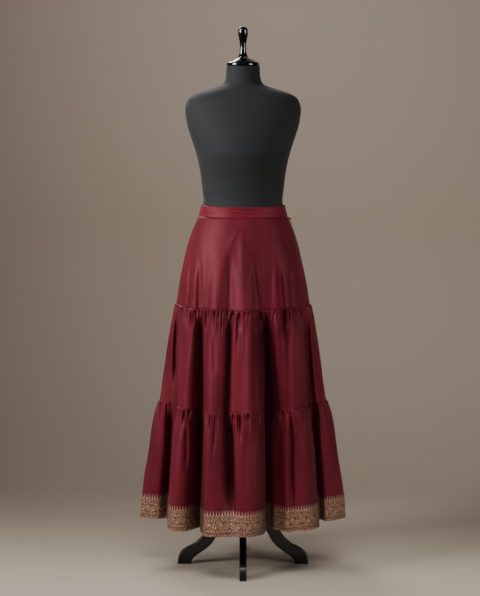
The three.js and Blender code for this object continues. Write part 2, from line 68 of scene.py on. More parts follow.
# ------------------------------------------------------------------ numbers and curves


def metres(points: Array) -> Array:
    """Millimetres to metres."""
    return np.asarray(points, dtype=float) * MM


def scatter(index: Array, seed: float) -> Array:
    """Steady pseudo-random numbers from -1 to 1: the fraction of a large multiple of a sine.

    Args:
        index: whole numbers, one for each draw.
        seed: a whole number that tells one set of draws from another.

    Returns:
        One number for each index.
    """
    wave = np.sin(np.asarray(index) * 12.9898 + seed * 78.233) * 43758.5453
    return 2 * (wave - np.floor(wave)) - 1


def calm(x: Array, knots: Array, values: Array) -> Array:
    """A smooth curve through knots that adds no humps of its own.

    Between two knots it is the cubic with those ends and end slopes; a knot's slope is the
    harmonic mean of the steps beside it, or zero where they have different signs.

    Args:
        x: rows by columns of places.
        knots: rising places of the knots, one row for all or one for each row of x.
        values: the curve's value at each knot, laid out as knots is.

    Returns:
        The curve at each place, rows by columns.
    """
    rows, count = len(x), np.shape(knots)[-1]
    knots = np.broadcast_to(knots, (rows, count))
    values = np.broadcast_to(values, (rows, count))
    steps = np.diff(values, axis=1) / np.diff(knots, axis=1)
    before = np.concatenate([steps[:, :1], steps], axis=1)
    after = np.concatenate([steps, steps[:, -1:]], axis=1)
    same_way = before * after > 0
    slopes = np.where(same_way, 2 * before * after / np.where(same_way, before + after, 1), 0)
    at = np.clip((x[:, :, None] > knots[:, None, :]).sum(axis=2) - 1, 0, count - 2)

    def pick(table: Array, shift: int) -> Array:
        """The table's entry at each place's knot, or the next one."""
        return np.take_along_axis(table, at + shift, axis=1)

    span = pick(knots, 1) - pick(knots, 0)
    t = np.clip((x - pick(knots, 0)) / span, 0, 1)
    rise = t * t * (3 - 2 * t)
    blend = pick(values, 0) * (1 - rise) + pick(values, 1) * rise
    return blend + span * t * (1 - t) * (pick(slopes, 0) * (1 - t) - pick(slopes, 1) * t)


def bump(distance: Array, width: float) -> Array:
    """A bell: one at no distance, 1/e at the width."""
    return np.exp(-((distance / width) ** 2))


def eased(share: Array) -> Array:
    """Zero below 0, one above 1, and a smooth step between."""
    t = np.clip(share, 0, 1)
    return t * t * (3 - 2 * t)


def running_length(line: Array) -> Array:
    """The length along a line of points up to each of them."""
    return np.concatenate([[0], np.cumsum(np.linalg.norm(np.diff(line, axis=0), axis=-1))])


# ------------------------------------------------------------------ meshes


def mesh_object(name: str, points: Array, faces: list, uv: Optional[Array] = None,
                sharp: float = 50.0, painted_crease_shade: Optional[Array] = None) -> Object:
    """A mesh object at the origin.

    Args:
        name: the piece's name.
        points: corners in millimetres, one a row.
        faces: lists of corner numbers, counter-clockwise from outside.
        uv: a place on the cloth for each corner, in millimetres.
        sharp: edges that turn by more than this many degrees stay crisp.
        painted_crease_shade: how much painted shade each corner gets from lying in a fold, from 0 to 1.

    Returns:
        The object, linked to the scene.
    """
    mesh = bpy.data.meshes.new(name)
    mesh.from_pydata(metres(points).tolist(), [], faces)
    if uv is not None:
        layer = mesh.uv_layers.new(name="cloth")
        corners = np.empty(len(mesh.loops), dtype=np.int32)
        mesh.loops.foreach_get("vertex_index", corners)
        layer.data.foreach_set("uv", metres(uv)[corners].ravel())
    if painted_crease_shade is not None:
        mesh.attributes.new("painted_crease_shade", "FLOAT", "POINT").data.foreach_set("value", painted_crease_shade)
    mesh.shade_smooth()
    mesh.set_sharp_from_angle(angle=np.radians(sharp))
    mesh.update()
    piece = bpy.data.objects.new(name, mesh)
    bpy.context.scene.collection.objects.link(piece)
    # how much painted shade its creases get, as a share of that of the tiers
    return piece


def grid_faces(rows: int, columns: int, start: int = 0, wrap: bool = False) -> Array:
    """Quads over a grid whose rows go down and whose columns go round to the left.

    Args:
        rows: rows of corners.
        columns: columns of corners.
        start: number of the first corner.
        wrap: whether the last column joins the first.

    Returns:
        An array of four corner numbers a face, facing outwards.
    """
    across = columns if wrap else columns - 1
    i, j = np.meshgrid(np.arange(rows - 1), np.arange(across), indexing="ij")
    after = (j + 1) % columns
    corners = [i * columns + j, (i + 1) * columns + j, (i + 1) * columns + after, i * columns + after]
    return start + np.stack(corners, axis=-1).reshape(-1, 4)


def rim_faces(outer: Array, inner: Array) -> Array:
    """Quads that join two lines of corners; they face out where the outer line runs leftwards above."""
    return np.stack([outer[:-1], outer[1:], inner[1:], inner[:-1]], axis=-1)


def shell(name: str, outer: Array, inner: Array, uv: Optional[Array] = None,
          push: Optional[Array] = None) -> Object:
    """A closed cloth wall between an outer and an inner grid.

    Args:
        name: the piece's name.
        outer: rows by columns of points, from the top down and round to the left.
        inner: the same grid behind the cloth.
        uv: rows by columns of places on the cloth.
        push: rows by columns of crease depths, which set the painted shade of the cloth as they grow.

    Returns:
        The piece.
    """
    rows, columns = outer.shape[:2]
    count = rows * columns
    number = np.arange(count).reshape(rows, columns)
    behind = number + count
    faces = np.concatenate([
        grid_faces(rows, columns),
        grid_faces(rows, columns, count)[:, ::-1],
        rim_faces(number[0], behind[0]),
        rim_faces(number[-1], behind[-1])[:, ::-1],
        rim_faces(number[:, 0], behind[:, 0])[:, ::-1],
        rim_faces(number[:, -1], behind[:, -1]),
    ])
    points = np.concatenate([outer.reshape(-1, 3), inner.reshape(-1, 3)])
    both = None if uv is None else np.tile(uv.reshape(-1, 2), (2, 1))
    push = np.zeros((rows, columns)) if push is None else np.clip(push, 0, None)
    # Painted shade for the materials: darker the deeper a corner lies in a crease, the same on the inner
    # face.
    painted_crease_shade = np.tile(1 - np.exp(-((push / CREASE_SHADE_MM) ** CREASE_SHADE_POWER)).ravel(), 2)
    return mesh_object(name, points, faces.tolist(), both, sharp=75, painted_crease_shade=painted_crease_shade)


def skin(name: str, rings: Array, sharp: float) -> Object:
    """A closed solid through full rings, from the top down, with flat ends.

    Args:
        name: the piece's name.
        rings: rings by columns of points.
        sharp: edges that turn by more than this many degrees stay crisp.

    Returns:
        The piece.
    """
    rows, columns = rings.shape[:2]
    number = np.arange(rows * columns).reshape(rows, columns)
    faces = grid_faces(rows, columns, wrap=True).tolist()
    faces += [number[0].tolist(), number[-1, ::-1].tolist()]
    return mesh_object(name, rings.reshape(-1, 3), faces, sharp=sharp)


def round_points(profile: Sequence[tuple], segments: int) -> Array:
    """Rings of a turned shape: each (radius, height) of the profile carried round the Z axis."""
    radius, height = np.array(profile, dtype=float).T
    turn = np.linspace(0, 2 * np.pi, segments, endpoint=False)
    x = radius[:, None] * np.sin(turn)
    y = -radius[:, None] * np.cos(turn)
    return np.stack([x, y, np.broadcast_to(height[:, None], x.shape)], axis=-1)


def smooth_profile(rows: Sequence[tuple], steps: int) -> Array:
    """More (radius, height) rows along a calm curve through those given, which rise in height."""
    radius, height = np.array(rows, dtype=float).T
    levels = np.linspace(height[0], height[-1], steps)
    return np.stack([calm(levels[None], height, radius)[0], levels], axis=-1)


def dress(piece: Object, material: Material, node: str = "") -> Object:
    """Give a piece its material, slot and body, and let it stand for its solid, if it has one."""
    piece.data.materials.append(material)
    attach(piece, FORM_BODY)
    if node:
        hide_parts(node)
    return piece


# ------------------------------------------------------------------ finishes


def linear(colour: str) -> tuple:
    """An sRGB hex colour as linear red, green, blue and alpha."""
    share = np.array([int(colour[k:k + 2], 16) for k in (1, 3, 5)]) / 255
    value = np.where(share <= 0.04045, share / 12.92, ((share + 0.055) / 1.055) ** 2.4)
    return (*value.tolist(), 1.0)


def per_mm(across: float, along: float, deep: float = 1000.0) -> tuple:
    """The Mapping scale that makes one unit of a pattern these many millimetres each way."""
    return (1 / (across * MM), 1 / (along * MM), 1 / (deep * MM))


def add(tree: Tree, kind: str, inputs: Optional[dict] = None, out: Union[int, str] = 0,
        **settings) -> Optional[Socket]:
    """Add a node with its settings, values and links.

    Args:
        tree: the material's nodes.
        kind: the node's type, without its ShaderNode prefix.
        inputs: socket names or numbers, each with a value or the output socket to link.
        out: name or number of the output to give back.
        settings: the node's own properties.

    Returns:
        That output, or nothing for the node that ends the tree.
    """
    node = tree.nodes.new("ShaderNode" + kind)
    for key, value in settings.items():
        setattr(node, key, value)
    for key, value in (inputs or {}).items():
        if isinstance(value, Socket):
            tree.links.new(value, node.inputs[key])
        else:
            node.inputs[key].default_value = value
    return node.outputs[out] if node.outputs else None


def new_material(name: str) -> tuple:
    """A new material and its empty node tree."""
    material = bpy.data.materials.new(name)
    material.use_nodes = True
    material.node_tree.nodes.clear()
    return material, material.node_tree


def blend_colours(tree: Tree, share: Socket, low: Colour, high: Colour) -> Socket:
    """Mix two colours, each a value or a socket, by a share from 0 to 1."""
    return add(tree, "Mix", {0: share, 6: low, 7: high}, out=2, data_type="RGBA")


def fold_shaded_colour(tree: Tree, woven: Socket, warp: str, warp_share: float) -> Socket:
    """The cloth's colour with painted shade: mixed towards a near-black fold shadow where its
    painted_crease_shade attribute nears one.
    """
    painted_crease_shade = add(tree, "Attribute", out="Fac", attribute_name="painted_crease_shade")
    folded = add(tree, "MapRange", {"Value": painted_crease_shade, "To Max": warp_share})
    return blend_colours(tree, folded, woven, linear(warp))


@dataclass(frozen=True)
class SilkFinish:
    """Hand-woven dupion silk: crisp plain weave, whose uneven weft leaves fine level slubs.

    Smooth filament gives it a soft sheen in its own colour, and shade is painted into its folds by mixing
    its colour towards a near-black by crease depth.
    """

    name: str = "dupion_silk_woven"
    lit: str = "#611826"
    deep: str = "#51131E"
    slub: str = "#772B38"
    # Painted shade: the near-black that the colour is mixed towards at the bottom of a fold.
    warp: str = "#16050A"
    warp_share: float = 0.87     # how much painted shade darkens the bottom of a fold
    slub_length_mm: float = 26.0
    slub_height_mm: float = 1.3
    rib_length_mm: float = 9.0
    rib_mm: float = 1.6          # real weft ribs are 0.4 mm; drawn coarser so that they show
    mottle_mm: float = 70.0
    mottle_stretch: float = 2.2  # how much longer the slow shading is down the cloth

    def make(self) -> Material:
        """Build the node material."""
        material, tree = new_material(self.name)
        place = add(tree, "UVMap", uv_map="cloth")

        def stretched(across_mm: float, along_mm: float) -> Socket:
            """The cloth's coordinates, so that one unit is across_mm round and along_mm down."""
            return add(tree, "Mapping", {"Vector": place, "Scale": per_mm(across_mm, along_mm)})

        slubs = add(tree, "TexNoise", {"Vector": stretched(self.slub_length_mm, self.slub_height_mm),
                                       "Scale": 1.0, "Detail": 2.0, "Roughness": 0.6})
        ribs = add(tree, "TexNoise", {"Vector": stretched(self.rib_length_mm, self.rib_mm),
                                      "Scale": 1.0, "Detail": 3.0})
        mottle = add(tree, "TexNoise", {"Scale": 1.0, "Detail": 2.0, "Vector": stretched(
            self.mottle_mm, self.mottle_mm * self.mottle_stretch)})
        shade = add(tree, "MapRange", {"Value": mottle, "From Min": 0.35, "From Max": 0.65})
        ground = blend_colours(tree, shade, linear(self.deep), linear(self.lit))
        thick = add(tree, "MapRange", {"Value": slubs, "From Min": 0.58, "From Max": 0.74, "To Max": 0.5})
        woven = blend_colours(tree, thick, ground, linear(self.slub))
        relief = add(tree, "Math", {0: ribs, 1: thick}, operation="ADD")
        surface = add(tree, "BsdfPrincipled", {
            "Base Color": fold_shaded_colour(tree, woven, self.warp, self.warp_share),
            "Roughness": add(tree, "MapRange", {"Value": ribs, "From Min": 0.3, "From Max": 0.7,
                                                "To Min": 0.46, "To Max": 0.6}),
            "Normal": add(tree, "Bump", {"Height": relief, "Strength": 0.25, "Distance": 0.0003}),
            "IOR": 1.48, "Specular Tint": linear("#E68A90"),
            "Sheen Weight": 0.22, "Sheen Roughness": 0.45, "Sheen Tint": linear("#BC5A66")})
        add(tree, "OutputMaterial", {"Surface": surface})
        return material


@dataclass(frozen=True)
class Level:
    """A number that varies over the cloth, held as a socket; its arithmetic adds Math nodes."""

    tree: Tree
    socket: Socket

    def step(self, operation: str, *values: Union["Level", float]) -> "Level":
        """One arithmetic operation on levels or numbers."""
        plain = [value.socket if isinstance(value, Level) else value for value in values]
        return Level(self.tree, add(self.tree, "Math", dict(enumerate(plain)), operation=operation))

    def __add__(self, other: Union["Level", float]) -> "Level":
        """Their sum."""
        return self.step("ADD", self, other)

    def __sub__(self, other: Union["Level", float]) -> "Level":
        """This less the other."""
        return self.step("SUBTRACT", self, other)

    def __rsub__(self, other: float) -> "Level":
        """A number less this."""
        return self.step("SUBTRACT", other, self)

    def __mul__(self, other: Union["Level", float]) -> "Level":
        """Their product, which is one where two masks are."""
        return self.step("MULTIPLY", self, other)

    def __truediv__(self, other: float) -> "Level":
        """This over a number."""
        return self.step("DIVIDE", self, other)

    def __gt__(self, other: Union["Level", float]) -> "Level":
        """One where this is the larger, else zero."""
        return self.step("GREATER_THAN", self, other)

    def __lt__(self, other: Union["Level", float]) -> "Level":
        """One where this is the smaller, else zero."""
        return self.step("LESS_THAN", self, other)

    def near(self, target: Union["Level", float], width: float) -> "Level":
        """One where this is within a width of its target, else zero."""
        return self.step("ABSOLUTE", self - target) < width

    def any_of(self, *masks: "Level") -> "Level":
        """The largest of this and other masks."""
        return reduce(lambda one, other: self.step("MAXIMUM", one, other), masks, self)


@dataclass(frozen=True)
class ZariFinish:
    """Woven zari: gilt thread over a maroon ground, in the traditional temple-edge layout.

    From the hem up: edge lines, a small zigzag, lines, a wide band of linked leaf scrolls and
    rosettes, lines, a diamond chain, lines, and a row of pointed temple teeth on bare silk.
    """

    name: str = "zari_brocade_woven"
    gilt: str = "#7C543D"
    # Painted highlight: the pale colour of the glint flecks on the gilt thread.
    pale_gilt: str = "#E0B498"
    tooth: str = "#CC9884"
    ground: str = "#402016"
    silk: str = "#561420"
    # Painted shade: the near-black that the colour is mixed towards at the bottom of a fold.
    warp: str = "#160706"
    warp_share: float = 0.7      # how much painted shade darkens the bottom of a fold
    height_mm: float = 72.0
    tooth_foot_mm: float = 60.0
    tooth_pitch_mm: float = 8.3
    tooth_share: float = 0.34    # width of a tooth at its foot, as a share of the pitch
    thread_mm: float = 1.9       # real gilt thread is 0.3 mm; drawn coarser so that it shows
    line_levels_mm: tuple = (1.4, 4.4, 14.6, 17.6, 42.0, 45.0, 56.6, 59.4)
    zigzag_mm: float = 6.4       # the zigzag's foot and its rise
    scroll_pitch_mm: float = 33.2
    scroll_band_mm: tuple = (19.2, 40.6)
    leaf_band_mm: tuple = (20.0, 39.8)
    leaf_pitch_mm: float = 11.07
    vine_mm: float = 29.8        # middle of the vine
    vine_swing_mm: float = 6.6
    chain_band_mm: tuple = (46.0, 55.6)
    chain_mm: float = 50.8       # middle of the diamond chain
    chain_swing_mm: float = 4.0
    weave_mm: float = 2.2
    waver_mm: float = 1.2        # how far the weave makes the figure's edges waver
    glint_mm: float = 4.0
    rosettes: tuple = (
        # place in the repeat, height from the vine's middle, radius, petals
        (0.25, -3.0, 6.4, 6), (0.75, 3.0, 6.4, 6), (0.0, 8.2, 3.2, 4), (0.5, -8.2, 3.2, 4))

    def rosette(self, along: Level, up: Level, row: tuple) -> Level:
        """A flower in each repeat: a ring whose outer edge runs in and out with its petals.

        Args:
            along: millimetres along the hem.
            up: millimetres above the hem.
            row: the flower's row of the rosettes table.

        Returns:
            Its mask.
        """
        shift, lift, radius, petals = row
        dx = (along.step("FRACT", along / self.scroll_pitch_mm + shift) - 0.5) * self.scroll_pitch_mm
        dy = up - (self.vine_mm + lift)
        out = along.step("SQRT", dx * dx + dy * dy)
        angle = along.step("ARCTAN2", dy, dx)
        edge = along.step("COSINE", angle * petals) * (radius * 0.28) + radius * 0.8
        return (out < edge) * (out > radius * 0.28)

    def figure(self, along: Level, up: Level) -> tuple:
        """Masks of the gilt figure, of the teeth, and of all that lies above the teeth's foot."""
        thread = self.thread_mm
        peaks = along.step("ABSOLUTE", along.step("FRACT", along / self.tooth_pitch_mm) - 0.5) * 2.0
        swing = along.step("SINE", along * (2 * np.pi / self.scroll_pitch_mm))
        edge, *others = [up.near(level, thread * 0.42) for level in self.line_levels_mm]
        zigzag = up.near(peaks * self.zigzag_mm + self.zigzag_mm, thread * 0.6)
        vine = up.near(swing * self.vine_swing_mm + self.vine_mm, thread * 0.5)
        back_vine = up.near(swing * -self.vine_swing_mm + self.vine_mm, thread * 0.35)
        flowers = [self.rosette(along, up, row) for row in self.rosettes]
        ripple = along.step("SINE", along * (2 * np.pi / self.leaf_pitch_mm) + up * 0.8)
        low, high = self.leaf_band_mm
        leaf = (up > low) * (up < high) * ripple.near(1.0, 0.11)
        low, high = self.scroll_band_mm
        scrolls = (up > low) * (up < high) * vine.any_of(back_vine, *flowers, leaf)
        low, high = self.chain_band_mm
        rise = up.near(peaks * self.chain_swing_mm + self.chain_mm, thread * 0.55)
        fall = up.near(peaks * -self.chain_swing_mm + self.chain_mm, thread * 0.55)
        chain = (up > low) * (up < high) * rise.any_of(fall)
        tip = (1.0 - peaks / self.tooth_share) * ((self.height_mm - self.tooth_foot_mm) * 1.1)
        above = up > self.tooth_foot_mm
        teeth = (up < tip + self.tooth_foot_mm) * above
        return (1.0 - above) * edge.any_of(*others, zigzag, scrolls, chain), teeth, above

    def make(self) -> Material:
        """Build the node material."""
        material, tree = new_material(self.name)
        place = add(tree, "UVMap", uv_map="cloth")
        weave = Level(tree, add(tree, "TexNoise", {"Vector": place, "Scale": 1 / (self.weave_mm * MM),
                                                   "Detail": 2.0}))
        along = Level(tree, add(tree, "SeparateXYZ", {"Vector": place}, out="X")) * (1 / MM)
        up = Level(tree, add(tree, "SeparateXYZ", {"Vector": place}, out="Y")) * (1 / MM)
        gilt, teeth, above = self.figure(along, up + (weave - 0.5) * self.waver_mm)
        # Painted glints: random flecks where the gilt thread takes a pale highlight colour.
        glint = add(tree, "TexNoise", {"Vector": place, "Scale": 1 / (self.glint_mm * MM),
                                       "Detail": 3.0, "Roughness": 0.7})
        glints = add(tree, "MapRange", {"Value": glint, "From Min": 0.45, "From Max": 0.6})
        threads = blend_colours(tree, glints, linear(self.gilt), linear(self.pale_gilt))
        picks = add(tree, "Mapping", {"Vector": place, "Scale": per_mm(7.0, 1.1)})
        inlay = add(tree, "TexNoise", {"Vector": picks, "Scale": 1.0, "Detail": 2.0})
        inlay_share = add(tree, "MapRange", {"Value": inlay, "From Min": 0.4, "From Max": 0.62,
                                             "To Max": 0.3})
        between = blend_colours(tree, inlay_share, linear(self.ground), linear(self.gilt))
        woven = blend_colours(tree, gilt.socket, between, threads)
        bare = blend_colours(tree, teeth.socket, linear(self.silk), linear(self.tooth))
        colour = blend_colours(tree, above.socket, woven, bare)
        metal = gilt.any_of(teeth)
        raised = metal + weave * 0.6
        surface = add(tree, "BsdfPrincipled", {
            "Base Color": fold_shaded_colour(tree, colour, self.warp, self.warp_share),
            "Metallic": add(tree, "MapRange", {"Value": metal.socket, "To Min": 0.1, "To Max": 0.3}),
            "Roughness": add(tree, "MapRange", {"Value": metal.socket, "To Min": 0.55, "To Max": 0.38}),
            "Normal": add(tree, "Bump", {"Height": raised.socket, "Strength": 0.6, "Distance": 0.0004})})
        add(tree, "OutputMaterial", {"Surface": surface})
        return material


@dataclass(frozen=True)
class JerseyFinish:
    """Charcoal cotton jersey stretched over padding: fine knit ribs, matt with a faint bloom."""

    name: str = "jersey_knitted"
    colour: str = "#13171A"
    worn: str = "#101215"
    wale_mm: float = 1.4         # real wales are 0.8 mm; drawn coarser so that they show

    def make(self) -> Material:
        """Build the node material."""
        material, tree = new_material(self.name)
        place = add(tree, "TexCoord", out="Object")
        knit = add(tree, "Mapping", {"Vector": place,
                                     "Scale": per_mm(self.wale_mm, self.wale_mm, self.wale_mm * 3)})
        wales = add(tree, "TexNoise", {"Vector": knit, "Scale": 1.0, "Detail": 1.0})
        wear = add(tree, "TexNoise", {"Vector": place, "Scale": 9.0, "Detail": 3.0})
        surface = add(tree, "BsdfPrincipled", {
            "Base Color": blend_colours(tree, wear, linear(self.worn), linear(self.colour)),
            "Roughness": add(tree, "MapRange", {"Value": wales, "To Min": 0.7, "To Max": 0.9}),
            "Normal": add(tree, "Bump", {"Height": wales, "Strength": 0.2, "Distance": 0.0003}),
            "Sheen Weight": 0.1, "Sheen Roughness": 0.5})
        add(tree, "OutputMaterial", {"Surface": surface})
        return material


@dataclass(frozen=True)
class PaintedWoodFinish:
    """Turned or sawn hardwood under black: gloss lacquer on the finial, worn satin stain on the legs."""

    name: str
    colour: str
    rubbed: str
    roughness: float
    coat: float
    grain_mm: float = 5.0
    grain_stretch: float = 9.0   # how much longer the grain is along the wood

    def make(self) -> Material:
        """Build the node material."""
        material, tree = new_material(self.name)
        place = add(tree, "Mapping", {"Vector": add(tree, "TexCoord", out="Object"), "Scale": per_mm(
            self.grain_mm, self.grain_mm, self.grain_mm * self.grain_stretch)})
        grain = add(tree, "TexNoise", {"Vector": place, "Scale": 1.0, "Detail": 4.0})
        share = add(tree, "MapRange", {"Value": grain, "From Min": 0.4, "From Max": 0.75})
        surface = add(tree, "BsdfPrincipled", {
            "Base Color": blend_colours(tree, share, linear(self.colour), linear(self.rubbed)),
            "Roughness": add(tree, "MapRange", {"Value": grain, "To Min": self.roughness * 0.85,
                                                "To Max": self.roughness * 1.2}),
            "Normal": add(tree, "Bump", {"Height": grain, "Strength": 0.08, "Distance": 0.0004}),
            "Coat Weight": self.coat, "Coat Roughness": 0.08})
        add(tree, "OutputMaterial", {"Surface": surface})
        return material


@dataclass(frozen=True)
class ZipMetalFinish:
    """Die-cast zinc under dark enamel, rubbed to bright metal in small scattered patches."""

    name: str = "zinc_die_cast_enamelled"
    colour: str = "#0F1012"
    rubbed: str = "#55575C"
    cloud_mm: float = 2.5

    def make(self) -> Material:
        """Build the node material."""
        material, tree = new_material(self.name)
        place = add(tree, "TexCoord", out="Object")
        cloud = add(tree, "TexNoise", {"Vector": place, "Scale": 1 / (self.cloud_mm * MM), "Detail": 3.0})
        share = add(tree, "MapRange", {"Value": cloud, "From Min": 0.5, "From Max": 0.72})
        surface = add(tree, "BsdfPrincipled", {
            "Base Color": blend_colours(tree, share, linear(self.colour), linear(self.rubbed)),
            "Roughness": add(tree, "MapRange", {"Value": cloud, "To Min": 0.22, "To Max": 0.42}),
            "Metallic": 0.35})
        add(tree, "OutputMaterial", {"Surface": surface})
        return material


@dataclass(frozen=True)
class ThreadFinish:
    """Spun polyester sewing thread or nylon zip coil: a close, even twist of two near shades."""

    name: str
    colour: str
    light: str
    twist_mm: float = 0.8

    def make(self) -> Material:
        """Build the node material."""
        material, tree = new_material(self.name)
        place = add(tree, "TexCoord", out="Object")
        twist = add(tree, "TexNoise", {"Vector": place, "Scale": 1 / (self.twist_mm * MM), "Detail": 2.0})
        surface = add(tree, "BsdfPrincipled", {
            "Base Color": blend_colours(tree, twist, linear(self.colour), linear(self.light)),
            "Roughness": 0.5})
        add(tree, "OutputMaterial", {"Surface": surface})
        return material


@dataclass(frozen=True)
class StudioFinish:
    """Painted studio floor and wall: matt, pale and even, and clear from behind for the back view."""

    name: str
    colour: str

    def make(self) -> Material:
        """Build the node material."""
        material, tree = new_material(self.name)
        place = add(tree, "TexCoord", out="Object")
        cloud = add(tree, "TexNoise", {"Vector": place, "Scale": 0.6, "Detail": 2.0})
        tint = add(tree, "MapRange", {"Value": cloud, "To Min": 0.97, "To Max": 1.03})
        shade = add(tree, "Mix", {0: 1.0, 6: linear(self.colour), 7: tint}, out=2, data_type="RGBA",
                    blend_type="MULTIPLY")
        paint = add(tree, "BsdfPrincipled", {"Base Color": shade, "Roughness": 0.85})
        seen = add(tree, "MixShader", {0: add(tree, "NewGeometry", out="Backfacing"), 1: paint,
                                       2: add(tree, "BsdfTransparent")})
        add(tree, "OutputMaterial", {"Surface": seen})
        return material


@dataclass
class Wardrobe:
    """The materials, each made once."""

    silk: Material = field(default_factory=lambda: SilkFinish().make())
    # A lighter copy of the skirt's silk: painted light, standing for the extra light that the band catches.
    band: Material = field(default_factory=lambda: SilkFinish(
        "dupion_silk_interfaced", "#701D2C", "#631826", "#85323E").make())
    zari: Material = field(default_factory=lambda: ZariFinish().make())
    jersey: Material = field(default_factory=lambda: JerseyFinish().make())
    lacquer: Material = field(default_factory=lambda: PaintedWoodFinish(
        "black_lacquer_turned", "#0B0B0C", "#121213", 0.16, 1.0).make())
    wood: Material = field(default_factory=lambda: PaintedWoodFinish(
        "black_stained_hardwood", "#0C0B09", "#15120F", 0.36, 0.12).make())
    metal: Material = field(default_factory=lambda: ZipMetalFinish().make())
    thread: Material = field(default_factory=lambda: ThreadFinish(
        "sewing_thread_spun", "#5E1722", "#8A2E3B").make())
    coil: Material = field(default_factory=lambda: ThreadFinish(
        "zip_coil_nylon", "#3E1018", "#5A1A25").make())


# ------------------------------------------------------------------ form of the skirt


class Half(Enum):
    """The two halves of the skirt, with the angle of their middle."""

    FRONT = 0
    BACK = 180

    @property
    def side(self) -> str:
        """The ending of its pieces' names."""
        return self.name.lower()

    @property
    def away(self) -> float:
        """How far its seam edges lie from the side seams' plane."""
        return -self.inward * GAP / 2

    @property
    def inward(self) -> int:
        """Which way the inside lies, along Y."""
        return 1 if self is Half.FRONT else -1


@dataclass(frozen=True)
class Crease:
    """A soft trough hung or pressed into a panel, or a ridge where its depth is negative.

    Across is counted from the panel's middle towards the wearer's left, and down from its
    upper edge. The two sides may differ, so that one falls away gently and the other steeply.
    """

    top_across: float
    foot_across: float
    top: float
    foot: float
    depth: float
    right: float                 # width of its side towards the wearer's right
    left: float                  # width of its side towards the wearer's left
    start: float = 0.5           # width at its top, as a share of that at its foot
    grow: float = 0.35           # share of its length over which it deepens
    fade: float = 0.4            # share of its length over which it dies out, or none

    def depth_at(self, across: Array, down: Array) -> Array:
        """The depth, times a two-sided bell across it and a smooth rise and fall along it."""
        length = self.foot - self.top
        run = np.clip((down - self.top) / length, 0, 1)
        line = self.top_across + (self.foot_across - self.top_across) * run
        away = (across - line) / (self.start + (1 - self.start) * run)
        along = eased((down - self.top) / (self.grow * length))
        if self.fade:
            along = along * eased((self.foot - down) / (self.fade * length))
        return self.depth * along * bump(away, np.where(away < 0, self.right, self.left))

    def turned(self, shift: float) -> "Crease":
        """The same crease on the other half, the other way round and moved across."""
        return replace(self, top_across=shift - self.top_across, foot_across=shift - self.foot_across,
                       right=self.left, left=self.right)


def creases(rows: Sequence[tuple]) -> tuple:
    """Creases from the rows of a table, with the columns in the order of their fields."""
    return tuple(Crease(*row) for row in rows)


def puckers(reach: float, count: int, longest: float, seed: int) -> tuple:
    """Short pinched creases under a gathered seam, unevenly strewn.

    Each lies near its even share of the width, moved by up to most of a share; its length,
    depth, width and lean are draws of their own.

    Args:
        reach: half the width that they are strewn over.
        count: how many there are.
        longest: length of the longest.
        seed: a whole number for this seam.

    Returns:
        The creases.
    """
    number = np.arange(count)
    draws = [0.5 + 0.5 * scatter(number, seed + k) for k in range(5)]
    place, length, depth, width, lean = draws
    across = reach * (2 * (number + 0.1 + 0.8 * place) / count - 1)
    run = longest * (0.25 + 0.75 * length ** 2)
    foot = across * (1 + 0.04 * lean) + 5 * (lean - 0.5)
    rows = np.stack([across, foot, -2 + 0 * run, run, 2.6 + 4.6 * depth, 2.0 + 3.6 * width,
                     1.3 + 2.2 * width, 0.8 + 0 * run, 0.2 + 0 * run, 0.7 + 0 * run], axis=1)
    return creases(rows.tolist())


UPPER_CREASES = creases([
    # top across, foot across, top, foot, depth, right, left, start, grow, fade
    (-129, -140, 85, 240, -1.4, 6, 6, 0.5, 0.6, 0),
    (-119, -121, 95, 252, 8.5, 11, 11, 0.5, 0.6, 0),
    (-86, -86, 150, 252, 1.2, 4, 4, 0.5, 0.6, 0),
    (-36, -42, 78, 252, 14.5, 20, 19, 0.4, 0.7, 0),
    (14, 13, 105, 170, 1.2, 4, 3, 0.6, 0.4, 0.4),
    (28, 43, 76, 252, 15.0, 16, 17, 0.6, 0.7, 0),
    (87, 90, 85, 252, -6.5, 9, 8, 0.5, 0.6, 0),
    (100, 110, 110, 252, 6.0, 9, 8, 0.4, 0.6, 0),
    (128, 140, 120, 252, 5.0, 10, 7, 0.4, 0.6, 0),
    (-4, 8, 8, 252, -5.0, 18, 9, 0.6, 0.35, 0),
    (-6, -42, 14, 90, -1.3, 10, 5, 0.8, 0.35, 0.4),
    (-144, -154, 105, 252, 9.0, 9, 6, 0.4, 0.6, 0),
])

